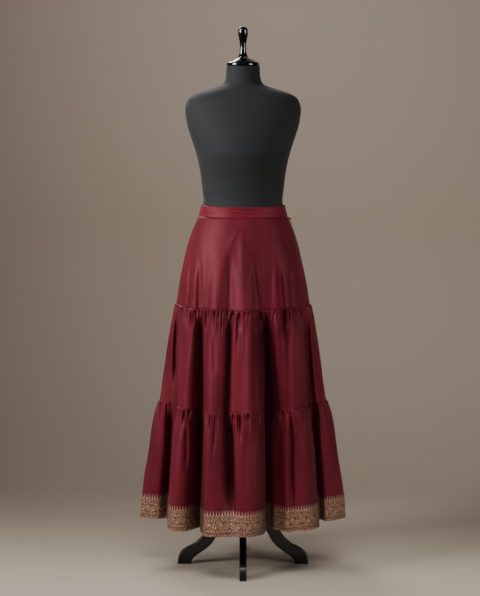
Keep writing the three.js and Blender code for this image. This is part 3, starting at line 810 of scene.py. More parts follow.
MIDDLE_CREASES = creases([
    (-186, -194, 4, 260, 20.0, 9, 6, 0.6, 0.3, 0.4),
    (-166, -168, 0, 30, 4.0, 3, 2.4, 0.6, 0.3, 0.6),
    (-155, -160, 0, 24, 5.0, 3, 2.4, 0.7, 0.3, 0.6),
    (-141, -149, 0, 96, 6.0, 3.6, 2.6, 0.7, 0.2, 0.7),
    (-116, -117, 0, 279, 31.0, 22, 8, 0.6, 0.3, 0),
    (-100, -104, -2, 70, 7.5, 3.4, 2.4, 0.9, 0.2, 0.7),
    (-76, -82, -2, 75, 7.5, 3.6, 2.6, 0.9, 0.2, 0.7),
    (-81, -80, 40, 200, 4.0, 9, 6, 0.6, 0.35, 0.4),
    (-33, -43, 0, 279, 25.0, 19, 8, 0.6, 0.3, 0),
    (-24, -24, 0, 38, 4.5, 2.6, 2, 0.8, 0.3, 0.6),
    (-14, -17, 0, 125, 7.0, 4, 3, 0.8, 0.2, 0.6),
    (1, 5, 2, 24, 3.6, 2.2, 1.9, 0.9, 0.3, 0.6),
    (10, 15, 0, 34, 4.0, 2.4, 2, 0.9, 0.3, 0.6),
    (60, 82, 0, 279, 38.0, 38, 9, 0.8, 0.3, 0),
    (50, 44, -2, 60, 6.0, 6, 5, 0.8, 0.3, 0.6),
    (90, 97, -4, 279, -14.0, 8, 15, 0.7, 0.2, 0.6),
    (116, 108, -2, 110, 9.0, 7, 5, 0.7, 0.2, 0.7),
    (139, 140, 0, 40, 4.0, 3, 2.4, 0.8, 0.3, 0.6),
    (155, 160, -2, 60, 6.0, 8, 5, 0.8, 0.2, 0.7),
    (178, 197, 0, 279, 18.0, 30, 8, 0.6, 0.3, 0),
    (20, 21, 0, 279, -12.0, 18, 9, 0.7, 0.3, 0),
    (141, 145, 0, 279, -20.0, 17, 12, 0.8, 0.3, 0),
])

LOWER_CREASES = creases([
    (-202, -225, -2, 390, 32.0, 15, 8, 0.7, 0.2, 0.2),
    (-181, -187, 0, 54, 5.5, 3.4, 2.6, 0.8, 0.2, 0.7),
    (-161, -174, 0, 60, 6.0, 3.6, 2.6, 0.9, 0.2, 0.7),
    (-158, -160, 20, 200, 7.0, 9, 6, 0.6, 0.35, 0.4),
    (-116, -118, -2, 400, 40.0, 30, 8, 0.8, 0.2, 0.2),
    (-101, -99, 0, 30, 4.0, 2.4, 2, 0.9, 0.3, 0.6),
    (-91, -93, 10, 52, 4.0, 2.6, 2.2, 0.9, 0.3, 0.6),
    (-76, -85, -2, 150, 9.0, 4.6, 3.4, 0.8, 0.2, 0.7),
    (-32, -26, 0, 335, 36.0, 34, 8, 0.7, 0.2, 0.5),
    (-24, -24, 2, 52, 6.0, 3.2, 2.4, 0.8, 0.2, 0.7),
    (-8, -6, 2, 85, 9.0, 4.4, 3.4, 0.8, 0.2, 0.7),
    (18, 19, 0, 50, 4.0, 2.8, 2.2, 0.8, 0.3, 0.6),
    (17, 19, 8, 330, -3.0, 8, 6, 0.7, 0.35, 0.4),
    (77, 77, -2, 420, 38.0, 40, 8, 0.8, 0.2, 0.1),
    (108, 108, 0, 46, 4.5, 2.6, 2.2, 0.8, 0.3, 0.6),
    (122, 126, 0, 344, -8.0, 14, 9, 0.7, 0.2, 0),
    (134, 138, 0, 340, 12.0, 8, 6, 0.7, 0.2, 0.5),
    (146, 144, 0, 110, 5.0, 4, 3.4, 0.7, 0.2, 0.7),
    (174, 175, 0, 44, 4.5, 3, 2.4, 0.8, 0.3, 0.6),
    (204, 229, -2, 400, 30.0, 24, 8, 0.7, 0.2, 0.2),
])

SKIRT_SECTIONS = np.array([
    # height, half width, depth before the side seams, depth behind them
    (1040.5, 118.6, 92, 91), (1010.7, 125.5, 98, 98), (992.3, 133.7, 105, 107),
    (969.5, 143.2, 113, 118), (924.0, 157.5, 128, 137), (878.3, 168.5, 141, 151),
    (832.6, 178.6, 152, 162), (786.7, 186.0, 161, 171), (759.5, 190.4, 166, 175),
    (729.3, 198.2, 173, 182), (683.2, 207.3, 180, 189), (590.7, 222.9, 190, 199),
    (521.1, 233.3, 197, 206), (480.3, 239.0, 201, 208), (445.3, 249.3, 209, 214.5),
    (392.8, 262.2, 217, 220.5), (322.4, 274.2, 225, 226.5), (208.7, 290.2, 233, 231),
    (136.7, 295.7, 236, 232.1),
])

FOLDS = np.array([
    # angle at the first seam, angle at the hem, inset at the hem, lateness
    (-90, -90, 0, 1), (-87, -86, 0.09, 1.6), (-83, -81, 0.21, 1.8), (-78, -75, 0.28, 1.6),
    (-70, -65, 0.28, 1.5), (-58, -54, 0.11, 1), (-47, -44, 0.06, 1), (-41, -38.5, 0.11, 1),
    (-37.5, -35.5, 0.205, 1), (-34, -32.5, 0.262, 1), (-28, -25.5, 0.07, 1),
    (-22.5, -20, 0.013, 1), (-16, -13, 0.02, 1), (-9.5, -7, 0.06, 0.6), (-1, 0, 0.03, 1),
    (6, 5, 0.02, 1), (12, 10, 0.024, 1), (16.5, 14, 0.13, 1), (21.5, 18.5, 0.34, 1),
    (29, 27, 0.315, 1.1), (32.5, 31, 0.185, 1), (37, 37, 0.155, 1), (45, 44, 0.115, 1),
    (56, 53, 0.09, 1), (64, 60, 0.27, 1.5), (72, 69, 0.27, 1.6), (79, 77, 0.14, 1.6),
    (85, 84, 0.05, 1.4), (90, 90, 0, 1), (97, 98, 0, 1), (102, 104, 0.05, 1),
    (109, 111, 0.22, 1), (118, 120, 0.05, 1), (127, 129, 0.04, 1), (136, 138, 0.26, 1),
    (145, 147, 0.02, 1), (158, 160, 0, 1), (167, 169, 0.2, 1), (176, 178, 0.01, 1),
    (192, 194, 0, 1), (203, 204, 0.24, 1), (212, 213, 0.03, 1), (224, 224, 0.03, 1),
    (234, 233, 0.25, 1), (242, 241, 0.05, 1), (246, 245, 0.06, 1), (252, 252, 0.2, 1),
    (258, 258, 0.06, 1), (264, 264, 0, 1),
])

FIRST_SEAM = 759.5
SECOND_SEAM = 480.3
HEM = 136.7
FOLDS_TOP = 940.0
FOLD_POWER = 1.2


@dataclass
class SkirtForm:
    """The skirt's outer surface: an oval by height, pulled in by the hanging folds."""

    sections: Array = field(default_factory=lambda: SKIRT_SECTIONS[::-1])
    folds: Array = field(default_factory=lambda: FOLDS)

    def size(self, height: Array, column: int) -> Array:
        """A column of the section table at each height of a grid."""
        return calm(height, self.sections[:, 0], self.sections[:, column])

    def inset(self, angle: Array, height: Array) -> Array:
        """How far in the folds lie, as a share of the section.

        Each fold's angle moves evenly from its place at the first seam to its place at the hem,
        and its depth grows as a power of a sine from nothing at the hip to all at the hem.

        Args:
            angle: degrees, rows by columns.
            height: one height for each row, laid out as angle is.

        Returns:
            The inset at each place.
        """
        level = height[:, :1]
        run = np.clip((FIRST_SEAM - level) / (FIRST_SEAM - HEM), 0, 1)
        share = np.clip((FOLDS_TOP - level) / (FOLDS_TOP - HEM), 0, 1)
        growth = np.sin(share * np.pi / 2) ** FOLD_POWER
        seam, hem, inset, late = self.folds.T
        places = seam + (hem - seam) * run
        depths = inset * growth ** late
        places = np.concatenate([places[:, -2:] - 360, places, places[:, :2] + 360], axis=1)
        depths = np.concatenate([depths[:, -2:], depths, depths[:, :2]], axis=1)
        return calm(angle, places, depths)

    def across(self, angle: Array, height: Array) -> Array:
        """Distance from the middle plane, positive to the wearer's left, before any lift."""
        return self.size(height, 1) * (1 - self.inset(angle, height)) * np.sin(np.radians(angle))

    def surface(self, angle: Array, height: Array, lift: Array, push: Array, half: Half) -> Array:
        """Points of the cloth's outer face.

        x = w (1 - inset) sin(angle) and y = -d (1 - inset) cos(angle), with w and d the half
        width and depth of the section, then moved out by lift along the oval's own normal, and
        straight back, towards the plane of the side seams, by push.

        Args:
            angle: degrees, rows by columns.
            height: heights, the same for a whole row.
            lift: how far the cloth stands out of the folded oval.
            push: how deep the creases are.
            half: front or back.

        Returns:
            Rows by columns of points.
        """
        turn = np.radians(angle)
        width = self.size(height, 1)
        depth = np.where(np.cos(turn) > 0, self.size(height, 2), self.size(height, 3))
        share = 1 - self.inset(angle, height)
        normal = np.stack([np.sin(turn) / width, -np.cos(turn) / depth], axis=-1)
        normal /= np.linalg.norm(normal, axis=-1, keepdims=True)
        x = width * share * np.sin(turn) + lift * normal[..., 0]
        y = -depth * share * np.cos(turn) + lift * normal[..., 1] + half.away + half.inward * push
        return np.stack([x, y, height], axis=-1)


def moved_in(grid: Array, distance: float) -> Array:
    """A grid's rows moved into the skirt, mitred so that the wall keeps one thickness.

    At each corner the shift is the sum of the two side normals over one plus their cosine,
    times the distance. Row ends are mirrored in the side seam, so that they stay square.
    """
    x, y = grid[..., 0], grid[..., 1]
    left = np.stack([x[:, 1], 2 * y[:, 0] - y[:, 1]], axis=-1)[:, None]
    right = np.stack([x[:, -2], 2 * y[:, -1] - y[:, -2]], axis=-1)[:, None]
    line = np.concatenate([left, grid[..., :2], right], axis=1)
    step = np.diff(line, axis=1)
    normal = np.stack([-step[..., 1], step[..., 0]], axis=-1)
    normal /= np.linalg.norm(normal, axis=-1, keepdims=True)
    mitre = normal[:, :-1] + normal[:, 1:]
    shift = 2 * distance * mitre / np.maximum((mitre ** 2).sum(axis=-1, keepdims=True), 1.0)
    return np.concatenate([grid[..., :2] + shift, grid[..., 2:]], axis=-1)


@dataclass(frozen=True)
class Gathers:
    """Gathers of a tier: a crest and a trough each, uneven in place, height and length."""

    count: int
    height: float
    shortest: float
    longest: float
    seed: int
    swell_mm: float = 12.0
    at_seam: float = 0.4
    lowest: float = 0.6
    wander: float = 0.28
    pinch: float = 2.0           # how much narrower the troughs are than the crests

    def lift(self, angle: Array, below: Array, half: Half) -> Array:
        """How far the gathers stand out.

        Crest and trough values swell over the first stretch below the seam and fade as a bell
        over each gather's own length; a calm curve joins them round the tier, and a power
        makes the troughs narrower than the crests.

        Args:
            angle: degrees, rows by columns.
            below: depth below the seam, laid out as angle is.
            half: front or back.

        Returns:
            The lift at each place.
        """
        column = np.arange(self.count + 1)
        free = (column > 0) & (column < self.count)
        drawn = column + half.value
        pitch = 180 / self.count
        places = half.value - 90 + pitch * (column + free * self.wander * scatter(drawn, self.seed))
        own = 0.5 + 0.5 * scatter(drawn, self.seed + 1)
        tall = self.height * (self.lowest + (1 - self.lowest) * own)
        run = self.shortest + (self.longest - self.shortest) * own ** 2
        depth = below[:, :1]
        rise = self.at_seam + (1 - self.at_seam) * np.sin(np.clip(depth / self.swell_mm, 0, 1) * np.pi / 2)
        swell = np.where(depth < self.swell_mm, rise, bump(depth - self.swell_mm, run))
        wave = calm(angle, places, np.broadcast_to(np.where(column % 2 == 0, 1.0, -1.0), places.shape))
        size = calm(angle, places, tall * swell)
        return size * (1 - 2 * ((1 - wave) / 2) ** self.pinch)


def drift(angle: Array, height: Array, seed: int, size: float) -> Array:
    """Slow unevenness of hanging cloth: a sum of sines of several lengths round and down."""
    total = np.zeros_like(angle)
    for k in range(6):
        round_waves = 5 + 4 * k + 2 * scatter(k, seed)
        down_mm = 260 - 28 * k
        phase = np.pi * scatter(k, seed + 1)
        total += np.sin(np.radians(angle) * round_waves + height / down_mm * 2 * np.pi + phase) / (1 + k)
    return size * total


@dataclass
class Panel:
    """What every skirt panel shares: its place, fineness and cloth."""

    form: SkirtForm
    half: Half
    columns: int = 340
    cloth: float = 0.9
    top: float = 0.0
    creases: tuple = ()
    back_shift: float = 11.0     # how far the turned creases of the back are moved across

    @staticmethod
    def seam_wave(across: Array) -> Array:
        """Rise and fall of a gathered seam: two sines of unlike lengths along it."""
        return 0.9 * np.sin(across / 17.0 + 0.8) + 0.5 * np.sin(across / 6.1)

    def angles(self, rows: int) -> Array:
        """Evenly spaced angles from one side seam to the other, for a number of rows."""
        line = np.linspace(self.half.value - 90, self.half.value + 90, self.columns)
        return np.broadcast_to(line, (rows, self.columns))

    def creased(self, angle: Array, height: Array, down: Optional[Array] = None) -> Array:
        """The depth of all the panel's creases at places on it.

        Args:
            angle: degrees, rows by columns.
            height: heights, laid out as angle is.
            down: depths below the upper edge to read the creases at, if not the places' own.

        Returns:
            The sum of the creases' depths.
        """
        across = self.form.across(angle, height)
        down = self.top - height if down is None else down
        own = self.creases if self.half is Half.FRONT else [c.turned(self.back_shift) for c in self.creases]
        return sum((crease.depth_at(across, down) for crease in own), np.zeros_like(across))

    def cloth_places(self, grid: Array, cut_width: float, top: float) -> Array:
        """Places on the flat cloth: an even share of the cut width round, and the run down the cloth."""
        step = np.linalg.norm(np.diff(grid, axis=0), axis=-1).mean(axis=1)
        down = top - np.concatenate([[0], np.cumsum(step)])
        across = np.linspace(0, cut_width, grid.shape[1])
        u, v = np.meshgrid(across, down)
        return np.stack([u, v], axis=-1)


@dataclass(frozen=True)
class Stitching:
    """Rows of small running stitches along an edge, each a slim lozenge of thread."""

    pitch: float = 3.2
    length: float = 2.4
    thickness: float = 0.5
    proud: float = 0.1           # how far a stitch's middle stands off the cloth

    def lozenges(self, line: Array) -> Array:
        """Corners of the stitches along a line that runs round the skirt to the left.

        Each stitch has a corner before and behind its middle, one above, one below, one
        outside and one in the cloth, along the line's direction, the outward level and their
        cross product.

        Args:
            line: points on the cloth, one a row.

        Returns:
            Stitches by six corners.
        """
        run = running_length(line)
        places = np.arange(self.pitch, run[-1] - self.pitch, self.pitch)

        def on_line(along: Array) -> Array:
            """Points of the line at lengths along it."""
            return np.stack([np.interp(along, run, line[:, k]) for k in range(3)], axis=-1)

        ahead = on_line(places + 1) - on_line(places - 1)
        ahead /= np.linalg.norm(ahead, axis=-1, keepdims=True)
        out = np.stack([ahead[:, 1], -ahead[:, 0], np.zeros(len(places))], axis=-1)
        out /= np.linalg.norm(out, axis=-1, keepdims=True)
        up = np.cross(out, ahead)
        half = self.thickness / 2
        arms = [ahead * self.length / 2, -ahead * self.length / 2]
        arms += [up * half, -up * half, out * half, -out * half]
        return (on_line(places) + out * self.proud)[:, None] + np.stack(arms, axis=1)

    def sew(self, name: str, lines: Sequence[Array], thread: Material) -> Object:
        """One piece with all the stitches of several lines."""
        corners = np.concatenate([self.lozenges(line) for line in lines])
        sides = np.array([(4, 0, 2), (5, 2, 0), (4, 2, 1), (5, 1, 2),
                          (4, 3, 0), (5, 0, 3), (4, 1, 3), (5, 3, 1)])
        faces = (np.arange(len(corners))[:, None, None] * 6 + sides[None]).reshape(-1, 3)
        return dress(mesh_object(name, corners.reshape(-1, 3), faces.tolist(), sharp=120), thread)


@dataclass
class Waistband(Panel):
    """Straight interfaced band, folded over at its top edge and lightly creased by wear."""

    foot: float = 1010.8
    thickness: float = 1.9
    edge_roll: float = 0.85
    wrinkles: tuple = (
        # middle across, height, half length, depth, half width, slope
        (-28, 1033.4, 52, 1.9, 2.2, -0.03), (-62, 1037.6, 22, 1.2, 1.6, -0.08),
        (-20, 1028.6, 40, -1.2, 3.6, -0.02), (30, 1031.0, 30, 1.1, 2.4, 0.02),
        (72, 1024.0, 26, 1.1, 3.0, 0.05), (-88, 1022.0, 20, 1.0, 3.0, 0.06),
    )

    def wrinkled(self, across: Array, height: Array) -> Array:
        """Minus each wrinkle's depth, times bells along it and across its sloping, wavy line."""
        total = np.zeros_like(across)
        mirror = 1 if self.half is Half.FRONT else -1
        for middle, level, half_length, depth, width, slope in self.wrinkles:
            along = mirror * across - middle
            line = level + slope * along + 0.5 * np.sin(along / 9.0)
            total -= depth * bump(height - line, width) * bump(along, half_length)
        return total

    def build(self, wardrobe: Wardrobe) -> list:
        """Rows down the band, rolled over its top and foot edges, and its edge stitching."""
        tall = self.top - self.foot
        flat_rows = 30
        below = np.concatenate([[0.0, 0.25, 0.8, 1.6], np.linspace(2.4, tall - 1.2, flat_rows),
                                [tall - 0.5, tall]])
        roll = np.concatenate([self.edge_roll * np.array([1, 0.5, 0.12, 0]), np.zeros(flat_rows),
                               [0.1, 0.5]])[:, None]
        angle = self.angles(len(below))
        height = np.broadcast_to((self.top - below)[:, None], angle.shape)
        across = self.form.across(angle, height)
        lift = drift(angle, height, 21, 0.22) + self.wrinkled(across, height) - roll
        flat = np.zeros_like(lift)
        outer = self.form.surface(angle, height, lift, flat, self.half)
        inner = moved_in(self.form.surface(angle, height, flat, flat, self.half), self.thickness)
        inner[0] = moved_in(outer[:1], self.thickness - 2 * self.edge_roll)[0]
        name = f"waistband_{self.half.side}"
        piece = shell(f"{name}_silk", outer, inner, self.cloth_places(outer, 342.0, 2000.0))
        dress(piece, wardrobe.band, name)
        sewn = Stitching().sew(f"{name}_stitches", (outer[5], outer[-4]), wardrobe.thread)
        return [piece, sewn]


@dataclass
class UpperTier(Panel):
    """Flat A-line panel from the band to the first seam."""

    foot: float = 759.65
    rows: int = 72
    gathers: Optional[Gathers] = None
    shade_share: float = 0.6     # how much its creases darken, as a share of those of the tiers

    def build(self, wardrobe: Wardrobe) -> list:
        """The panel, with hung creases and the small puckers that its gathered neighbour pulls in."""
        below = (self.top - self.foot) * np.linspace(0, 1, self.rows) ** 0.92
        angle = self.angles(self.rows)
        height = np.broadcast_to((self.top - below)[:, None], angle.shape)
        above_seam = height - self.foot
        free = eased(below / 60)[:, None] * eased(above_seam / 60)
        lift = drift(angle, height, 5, 0.55) * free
        seam_pull = self.gathers.lift(angle, np.full_like(height, self.gathers.swell_mm), self.half)
        lift = lift + 0.3 * seam_pull * np.exp(-above_seam / 9.0) - 0.8 * bump(above_seam, 2.0)
        lift = lift * eased(below / 6)[:, None] - 0.5 * bump(below, 1.5)[:, None]
        push = self.creased(angle, height)
        outer = self.form.surface(angle, height, lift, push, self.half)
        outer[..., 2] += self.seam_wave(outer[..., 0]) * bump(above_seam, 14)
        uv = self.cloth_places(outer, 570.0, 1900.0)
        name = f"upper_tier_{self.half.side}"
        # Its creases get a smaller share of painted shade than those of the gathered tiers.
        piece = shell(f"{name}_silk", outer, moved_in(outer, self.cloth), uv, self.shade_share * push)
        dress(piece, wardrobe.silk, name)
        return [piece]


@dataclass
class GatheredTier(Panel):
    """A straight length of cloth drawn up to the edge of the tier above, and hanging in folds."""

    name: str = ""
    foot: float = 0.0
    rows: int = 64
    gathers: Optional[Gathers] = None
    cut: tuple = (1.0, 0.3)
    above: Optional[Panel] = None
    above_name: str = ""
    tuck_mm: float = 5.0         # seam allowance that turns up behind the tier above
    carry_mm: float = 55.0       # how far the creases of the tier above run on into this one
    puff: float = 2.2            # how far the gathered cloth stands out under the seam
    puff_reach: float = 45.0     # depth below the seam at which a third of that is left

    def grid(self, below: Array) -> tuple:
        """Points of the outer face, and depths of its creases, at depths below the seam."""
        angle = self.angles(len(below))
        height = np.broadcast_to((self.top - below)[:, None], angle.shape)
        depth = np.clip(np.broadcast_to(below[:, None], angle.shape), 0, None)
        lift = self.gathers.lift(angle, depth, self.half)
        lift = lift + drift(angle, height, self.gathers.seed, 0.7) * eased(depth / 40)
        lift = lift * (0.4 + 0.6 * eased(depth / 4))
        lift = lift + self.puff * eased(depth / 3.5) * np.exp(-depth / self.puff_reach)
        lift = lift - 2.2 * eased(1 - np.broadcast_to(below[:, None], angle.shape) / 1.4)
        seam_down = np.full_like(angle, self.above.top - self.top - GAP)
        push = self.creased(angle, height)
        push = push + self.above.creased(angle, height, seam_down) * bump(depth, self.carry_mm)
        points = self.form.surface(angle, height, lift, push, self.half)
        points[..., 2] += self.seam_wave(points[..., 0]) * bump(depth, 14)
        return points, push

    def build(self, wardrobe: Wardrobe) -> list:
        """The tier, from its tucked seam allowance to its foot."""
        length = self.top - self.foot
        below = np.concatenate([[-self.tuck_mm, -2.5, -0.6, 0.3, 0.9, 1.7],
                                2.6 + (length - 2.6) * np.linspace(0, 1, self.rows - 6) ** 1.45])
        outer, push = self.grid(below)
        uv = self.cloth_places(outer, self.cut[0] / MM, 1000.0)
        name = f"{self.name}_{self.half.side}"
        # The crease depths also set the painted shade in its folds.
        piece = shell(f"{name}_silk", outer, moved_in(outer, self.cloth), uv, push)
        dress(piece, wardrobe.silk, name)
        return [piece]


@dataclass
class HemBorder:
    """Woven border laid on the foot of the lower tier, made from the tier's own points."""

    tier: GatheredTier
    height: float = 72.0
    thickness: float = 0.8
    rows: int = 12
    stitch_inset: float = 2.0    # how far from its two edges it is sewn down

    def build(self, wardrobe: Wardrobe) -> list:
        """A band 0.3 mm outside the tier, with its pattern laid by real lengths along the hem."""
        length = self.tier.top - self.tier.foot
        below = length - self.height * (1 - np.linspace(0, 1, self.rows))
        on, push = self.tier.grid(below)
        outer = moved_in(on, -GAP - self.thickness)
        inner = moved_in(on, -GAP)
        along = running_length(outer[self.rows // 2])
        u, v = np.meshgrid(along, length - below)
        side = self.tier.half.side
        # The tier's crease depths also set the painted shade in the border's folds.
        piece = shell(f"hem_border_{side}_zari", outer, inner, np.stack([u, v], axis=-1), push)
        dress(piece, wardrobe.zari, f"hem_border_{side}")
        flat = (float(along[-1]) * MM, self.height * MM)
        share = self.stitch_inset / (self.height / (self.rows - 1))
        edges = (outer[0] + (outer[1] - outer[0]) * share, outer[-1] + (outer[-2] - outer[-1]) * share)
        sewn = Stitching().sew(f"hem_border_{side}_stitches", edges, wardrobe.thread)
        return [piece, sewn]


@dataclass
class Skirt:
    """The whole skirt: band, three tiers and the hem border, front and back."""

    form: SkirtForm = field(default_factory=SkirtForm)
    middle_gathers: Gathers = Gathers(64, 2.4, 14, 75, 3)
    lower_gathers: Gathers = Gathers(52, 2.8, 16, 95, 11)
    front_columns: int = 640
    back_columns: int = 460

    def build(self, wardrobe: Wardrobe) -> list:
        """Build and dress every panel."""
        made = []
        for half in Half:
            fine = self.front_columns if half is Half.FRONT else self.back_columns
            band = Waistband(self.form, half, 260, top=1040.5)
            upper = UpperTier(self.form, half, 320, top=1010.5, creases=UPPER_CREASES,
                              gathers=self.middle_gathers)
            middle = GatheredTier(
                self.form, half, fine, top=FIRST_SEAM - GAP / 2, foot=SECOND_SEAM + GAP / 2,
                creases=MIDDLE_CREASES + puckers(186, 40, 104, 31), name="middle_tier",
                gathers=self.middle_gathers, above=upper, above_name="upper_tier",
                cut=(0.81, 0.285) if half is Half.FRONT else (0.87, 0.285))
            lower = GatheredTier(
                self.form, half, fine, top=SECOND_SEAM - GAP / 2, foot=HEM,
                creases=LOWER_CREASES + puckers(236, 48, 124, 47), name="lower_tier",
                gathers=self.lower_gathers, above=middle, above_name="middle_tier",
                cut=(1.13, 0.352) if half is Half.FRONT else (1.25, 0.352))
            for panel in (band, upper, middle, lower, HemBorder(lower)):
                made += panel.build(wardrobe)
        return made


# ------------------------------------------------------------------ dress form and stand

TORSO_SECTIONS = np.array([
    # height, half width, depth before the arm line, depth behind it
    (1430.5, 46.4, 46.4, 46.4), (1402, 48.3, 49, 49), (1387, 52, 53, 54), (1379, 59, 57, 60),
    (1372, 77, 62, 67), (1363, 106, 69, 76), (1352, 136, 76, 85), (1337, 155, 85, 94),
    (1310, 163, 96, 101), (1270, 158, 108, 103), (1232, 147, 118, 99), (1196, 135, 121, 94),
    (1160, 126, 112, 88), (1120, 119, 97, 84.5), (1083, 115, 90, 83), (1058, 111.8, 87.5, 83),
    (1043, 112.6, 88.5, 86), (1011, 123.2, 95.8, 95.8), (992, 129, 100, 102), (969, 136, 106, 110),
    (924, 147, 119, 127), (870, 154, 130, 139), (810, 153, 130, 138), (750, 147, 124, 130),
    (714, 142, 119, 124), (702, 136, 114, 118), (698, 126, 105, 108),
])


@dataclass
class DressForm:
    """Padded torso in jersey, with its neck cap and turned finial."""

    columns: int = 144
    rows: int = 220
    seam_depth: float = 0.7
    seam_width: float = 1.6
    seams: tuple = (-33.0, 33.0, 147.0, 213.0, 90.0, 270.0, 180.0)
    neck_seam: float = 1366.0

    def torso(self) -> Object:
        """Ovals by height, with shallow grooves along the panel seams and round the neck's root."""
        table = TORSO_SECTIONS[::-1]
        heights = np.linspace(table[-1, 0], table[0, 0], self.rows)
        turn = np.linspace(0, 2 * np.pi, self.columns, endpoint=False)
        angle = np.broadcast_to(np.degrees(turn), (self.rows, self.columns))
        height = np.broadcast_to(heights[:, None], angle.shape)
        width, front, back = (calm(height, table[:, 0], table[:, k]) for k in (1, 2, 3))
        depth = np.where(np.cos(turn) > 0, front, back)
        groove = np.zeros_like(width)
        for seam in self.seams:
            away = (angle - seam + 180) % 360 - 180
            groove += bump(np.radians(away) * width, self.seam_width)
        groove *= eased((self.neck_seam - height) / 6)
        groove += bump(height - self.neck_seam, self.seam_width)
        share = 1 - self.seam_depth * groove / width
        points = np.stack([width * share * np.sin(turn), -depth * share * np.cos(turn), height], axis=-1)
        return skin("form_torso_jersey", points, sharp=40)

    def build(self, wardrobe: Wardrobe) -> list:
        """Build and dress the torso, cap and finial."""
        neck = TORSO_SECTIONS[0, 0] + GAP
        cap_rows = [(43.0, neck), (46.0, neck + 0.5), (46.6, neck + 2.5), (46.5, neck + 5), (46.2, neck + 7),
                    (45.6, neck + 8.6), (44.4, neck + 10), (42.4, neck + 11.2), (38, neck + 13.2),
                    (28, neck + 17.5), (18, neck + 21.9), (15.2, neck + 23), (12, neck + 23.2)]
        cap = skin("neck_cap_lacquer", round_points(cap_rows[::-1], 96), sharp=60)
        foot = neck + 23.2 + GAP
        knob_rows = [(13.0, 0), (13.7, 0.6), (13.9, 2), (13.2, 4), (12.0, 6), (9.8, 14), (8.8, 28),
                     (9.5, 41),
                     (11.5, 51), (13.3, 61), (14.1, 70), (13.5, 76.5), (11.4, 81), (8.4, 83.8), (4.6, 85.2),
                     (1.2, 85.5)]
        levels = smooth_profile([(r, h + foot) for r, h in knob_rows], 90)
        finial = skin("finial_lacquer", round_points(levels[::-1].tolist(), 64), sharp=60)
        return [dress(self.torso(), wardrobe.jersey, "form_torso"),
                dress(cap, wardrobe.lacquer, "neck_cap"),
                dress(finial, wardrobe.lacquer, "finial")]


@dataclass
class Stand:
    """Turned pole, base block and four shaped board legs."""

    hub_half: float = 18.0
    hub_foot: float = 142.0
    hub_top: float = 236.0
    leg_thickness: float = 20.0
    edge: float = 3.0
    upper_edge: tuple = ((18.3, 228), (50, 214), (82, 158), (104, 103), (122, 76), (142, 58), (162, 48),
                         (178, 36), (187, 18), (190, 0))
    under_edge: tuple = ((18.3, 150), (46, 131), (69, 95), (88, 63), (112, 40.5), (134, 25.5), (146, 13),
                         (151, 0))

    @staticmethod
    def along(edge: Sequence[tuple], steps: int) -> Array:
        """Points along a smooth curve through an edge's points, evenly spaced by its own run."""
        points = np.array(edge, dtype=float)
        run = running_length(points)
        run /= run[-1]
        places = np.linspace(0, 1, steps)[None]
        return np.stack([calm(places, run, points[:, k])[0] for k in (0, 1)], axis=-1)

    def leg(self, name: str, direction: float) -> Object:
        """A board between its two edges, with eased corners.

        Each section runs from the upper edge to the under edge: a rounded rectangle of that
        depth and of the board's thickness, carried from the block to the foot.

        Args:
            name: the piece's name.
            direction: degrees from the wearer's left, anticlockwise from above.

        Returns:
            The leg.
        """
        steps, corner = 60, 5
        upper, under = self.along(self.upper_edge, steps), self.along(self.under_edge, steps)
        arc = np.linspace(0, np.pi / 2, corner)
        rise, run = self.edge * (1 - np.sin(arc)), self.edge * (1 - np.cos(arc))
        half = self.leg_thickness / 2
        across = np.concatenate([half - run[::-1], -(half - run), -(half - run[::-1]), half - run])
        inward = np.concatenate([rise[::-1], rise, -rise[::-1], -rise])
        from_upper = np.concatenate([np.zeros(2 * corner), np.ones(2 * corner)])
        middle = under - upper
        length = np.linalg.norm(middle, axis=1, keepdims=True)
        share = from_upper[None] + inward[None] / length
        out = upper[:, :1] + middle[:, :1] * share
        height = upper[:, 1:] + middle[:, 1:] * share
        turn = np.radians(direction)
        x = out * np.cos(turn) - across[None] * np.sin(turn)
        y = out * np.sin(turn) + across[None] * np.cos(turn)
        rings = np.stack([x, y, height], axis=-1)
        return skin(name, rings[:, ::-1], sharp=35)

    def build(self, wardrobe: Wardrobe) -> list:
        """Build and dress the pole, block and legs."""
        foot, top = self.hub_top + GAP, TORSO_SECTIONS[-1, 0] - GAP
        rows = [(19.2, foot), (20, foot + 0.8), (20, foot + 9.2), (19.2, foot + 10), (16, foot + 11.5),
                (14.4, foot + 14.5), (14, foot + 18), (14, top - 15), (15, top - 13.4), (33, top - 8.6),
                (34, top - 7.4), (34, top - 0.8), (33.2, top)]
        pole = skin("form_pole_wood", round_points(rows[::-1], 64), sharp=45)
        turn = np.linspace(0, 2 * np.pi, 64, endpoint=False)
        square = (np.abs(np.sin(turn)) ** 8 + np.abs(np.cos(turn)) ** 8) ** (-1 / 8)
        ease = [(1.2, 0), (0.3, 0.6), (0, 1.6)]
        levels = [(self.hub_top - h, self.hub_half - d) for d, h in ease]
        levels += [(self.hub_foot + h, self.hub_half - d) for d, h in ease[::-1]]
        height, half = np.array(levels).T
        radius = half[:, None] * square[None]
        block = np.stack([radius * np.sin(turn), -radius * np.cos(turn),
                          np.broadcast_to(height[:, None], radius.shape)], axis=-1)
        hub = skin("base_hub_wood", block, sharp=45)
        made = [pole, hub]
        for side, direction in (("front", -90), ("left", 0), ("back", 90), ("right", 180)):
            made.append(self.leg(f"leg_{side}_wood", direction))
        return [dress(piece, wardrobe.wood, piece.name.removesuffix("_wood"))
                for piece in made]


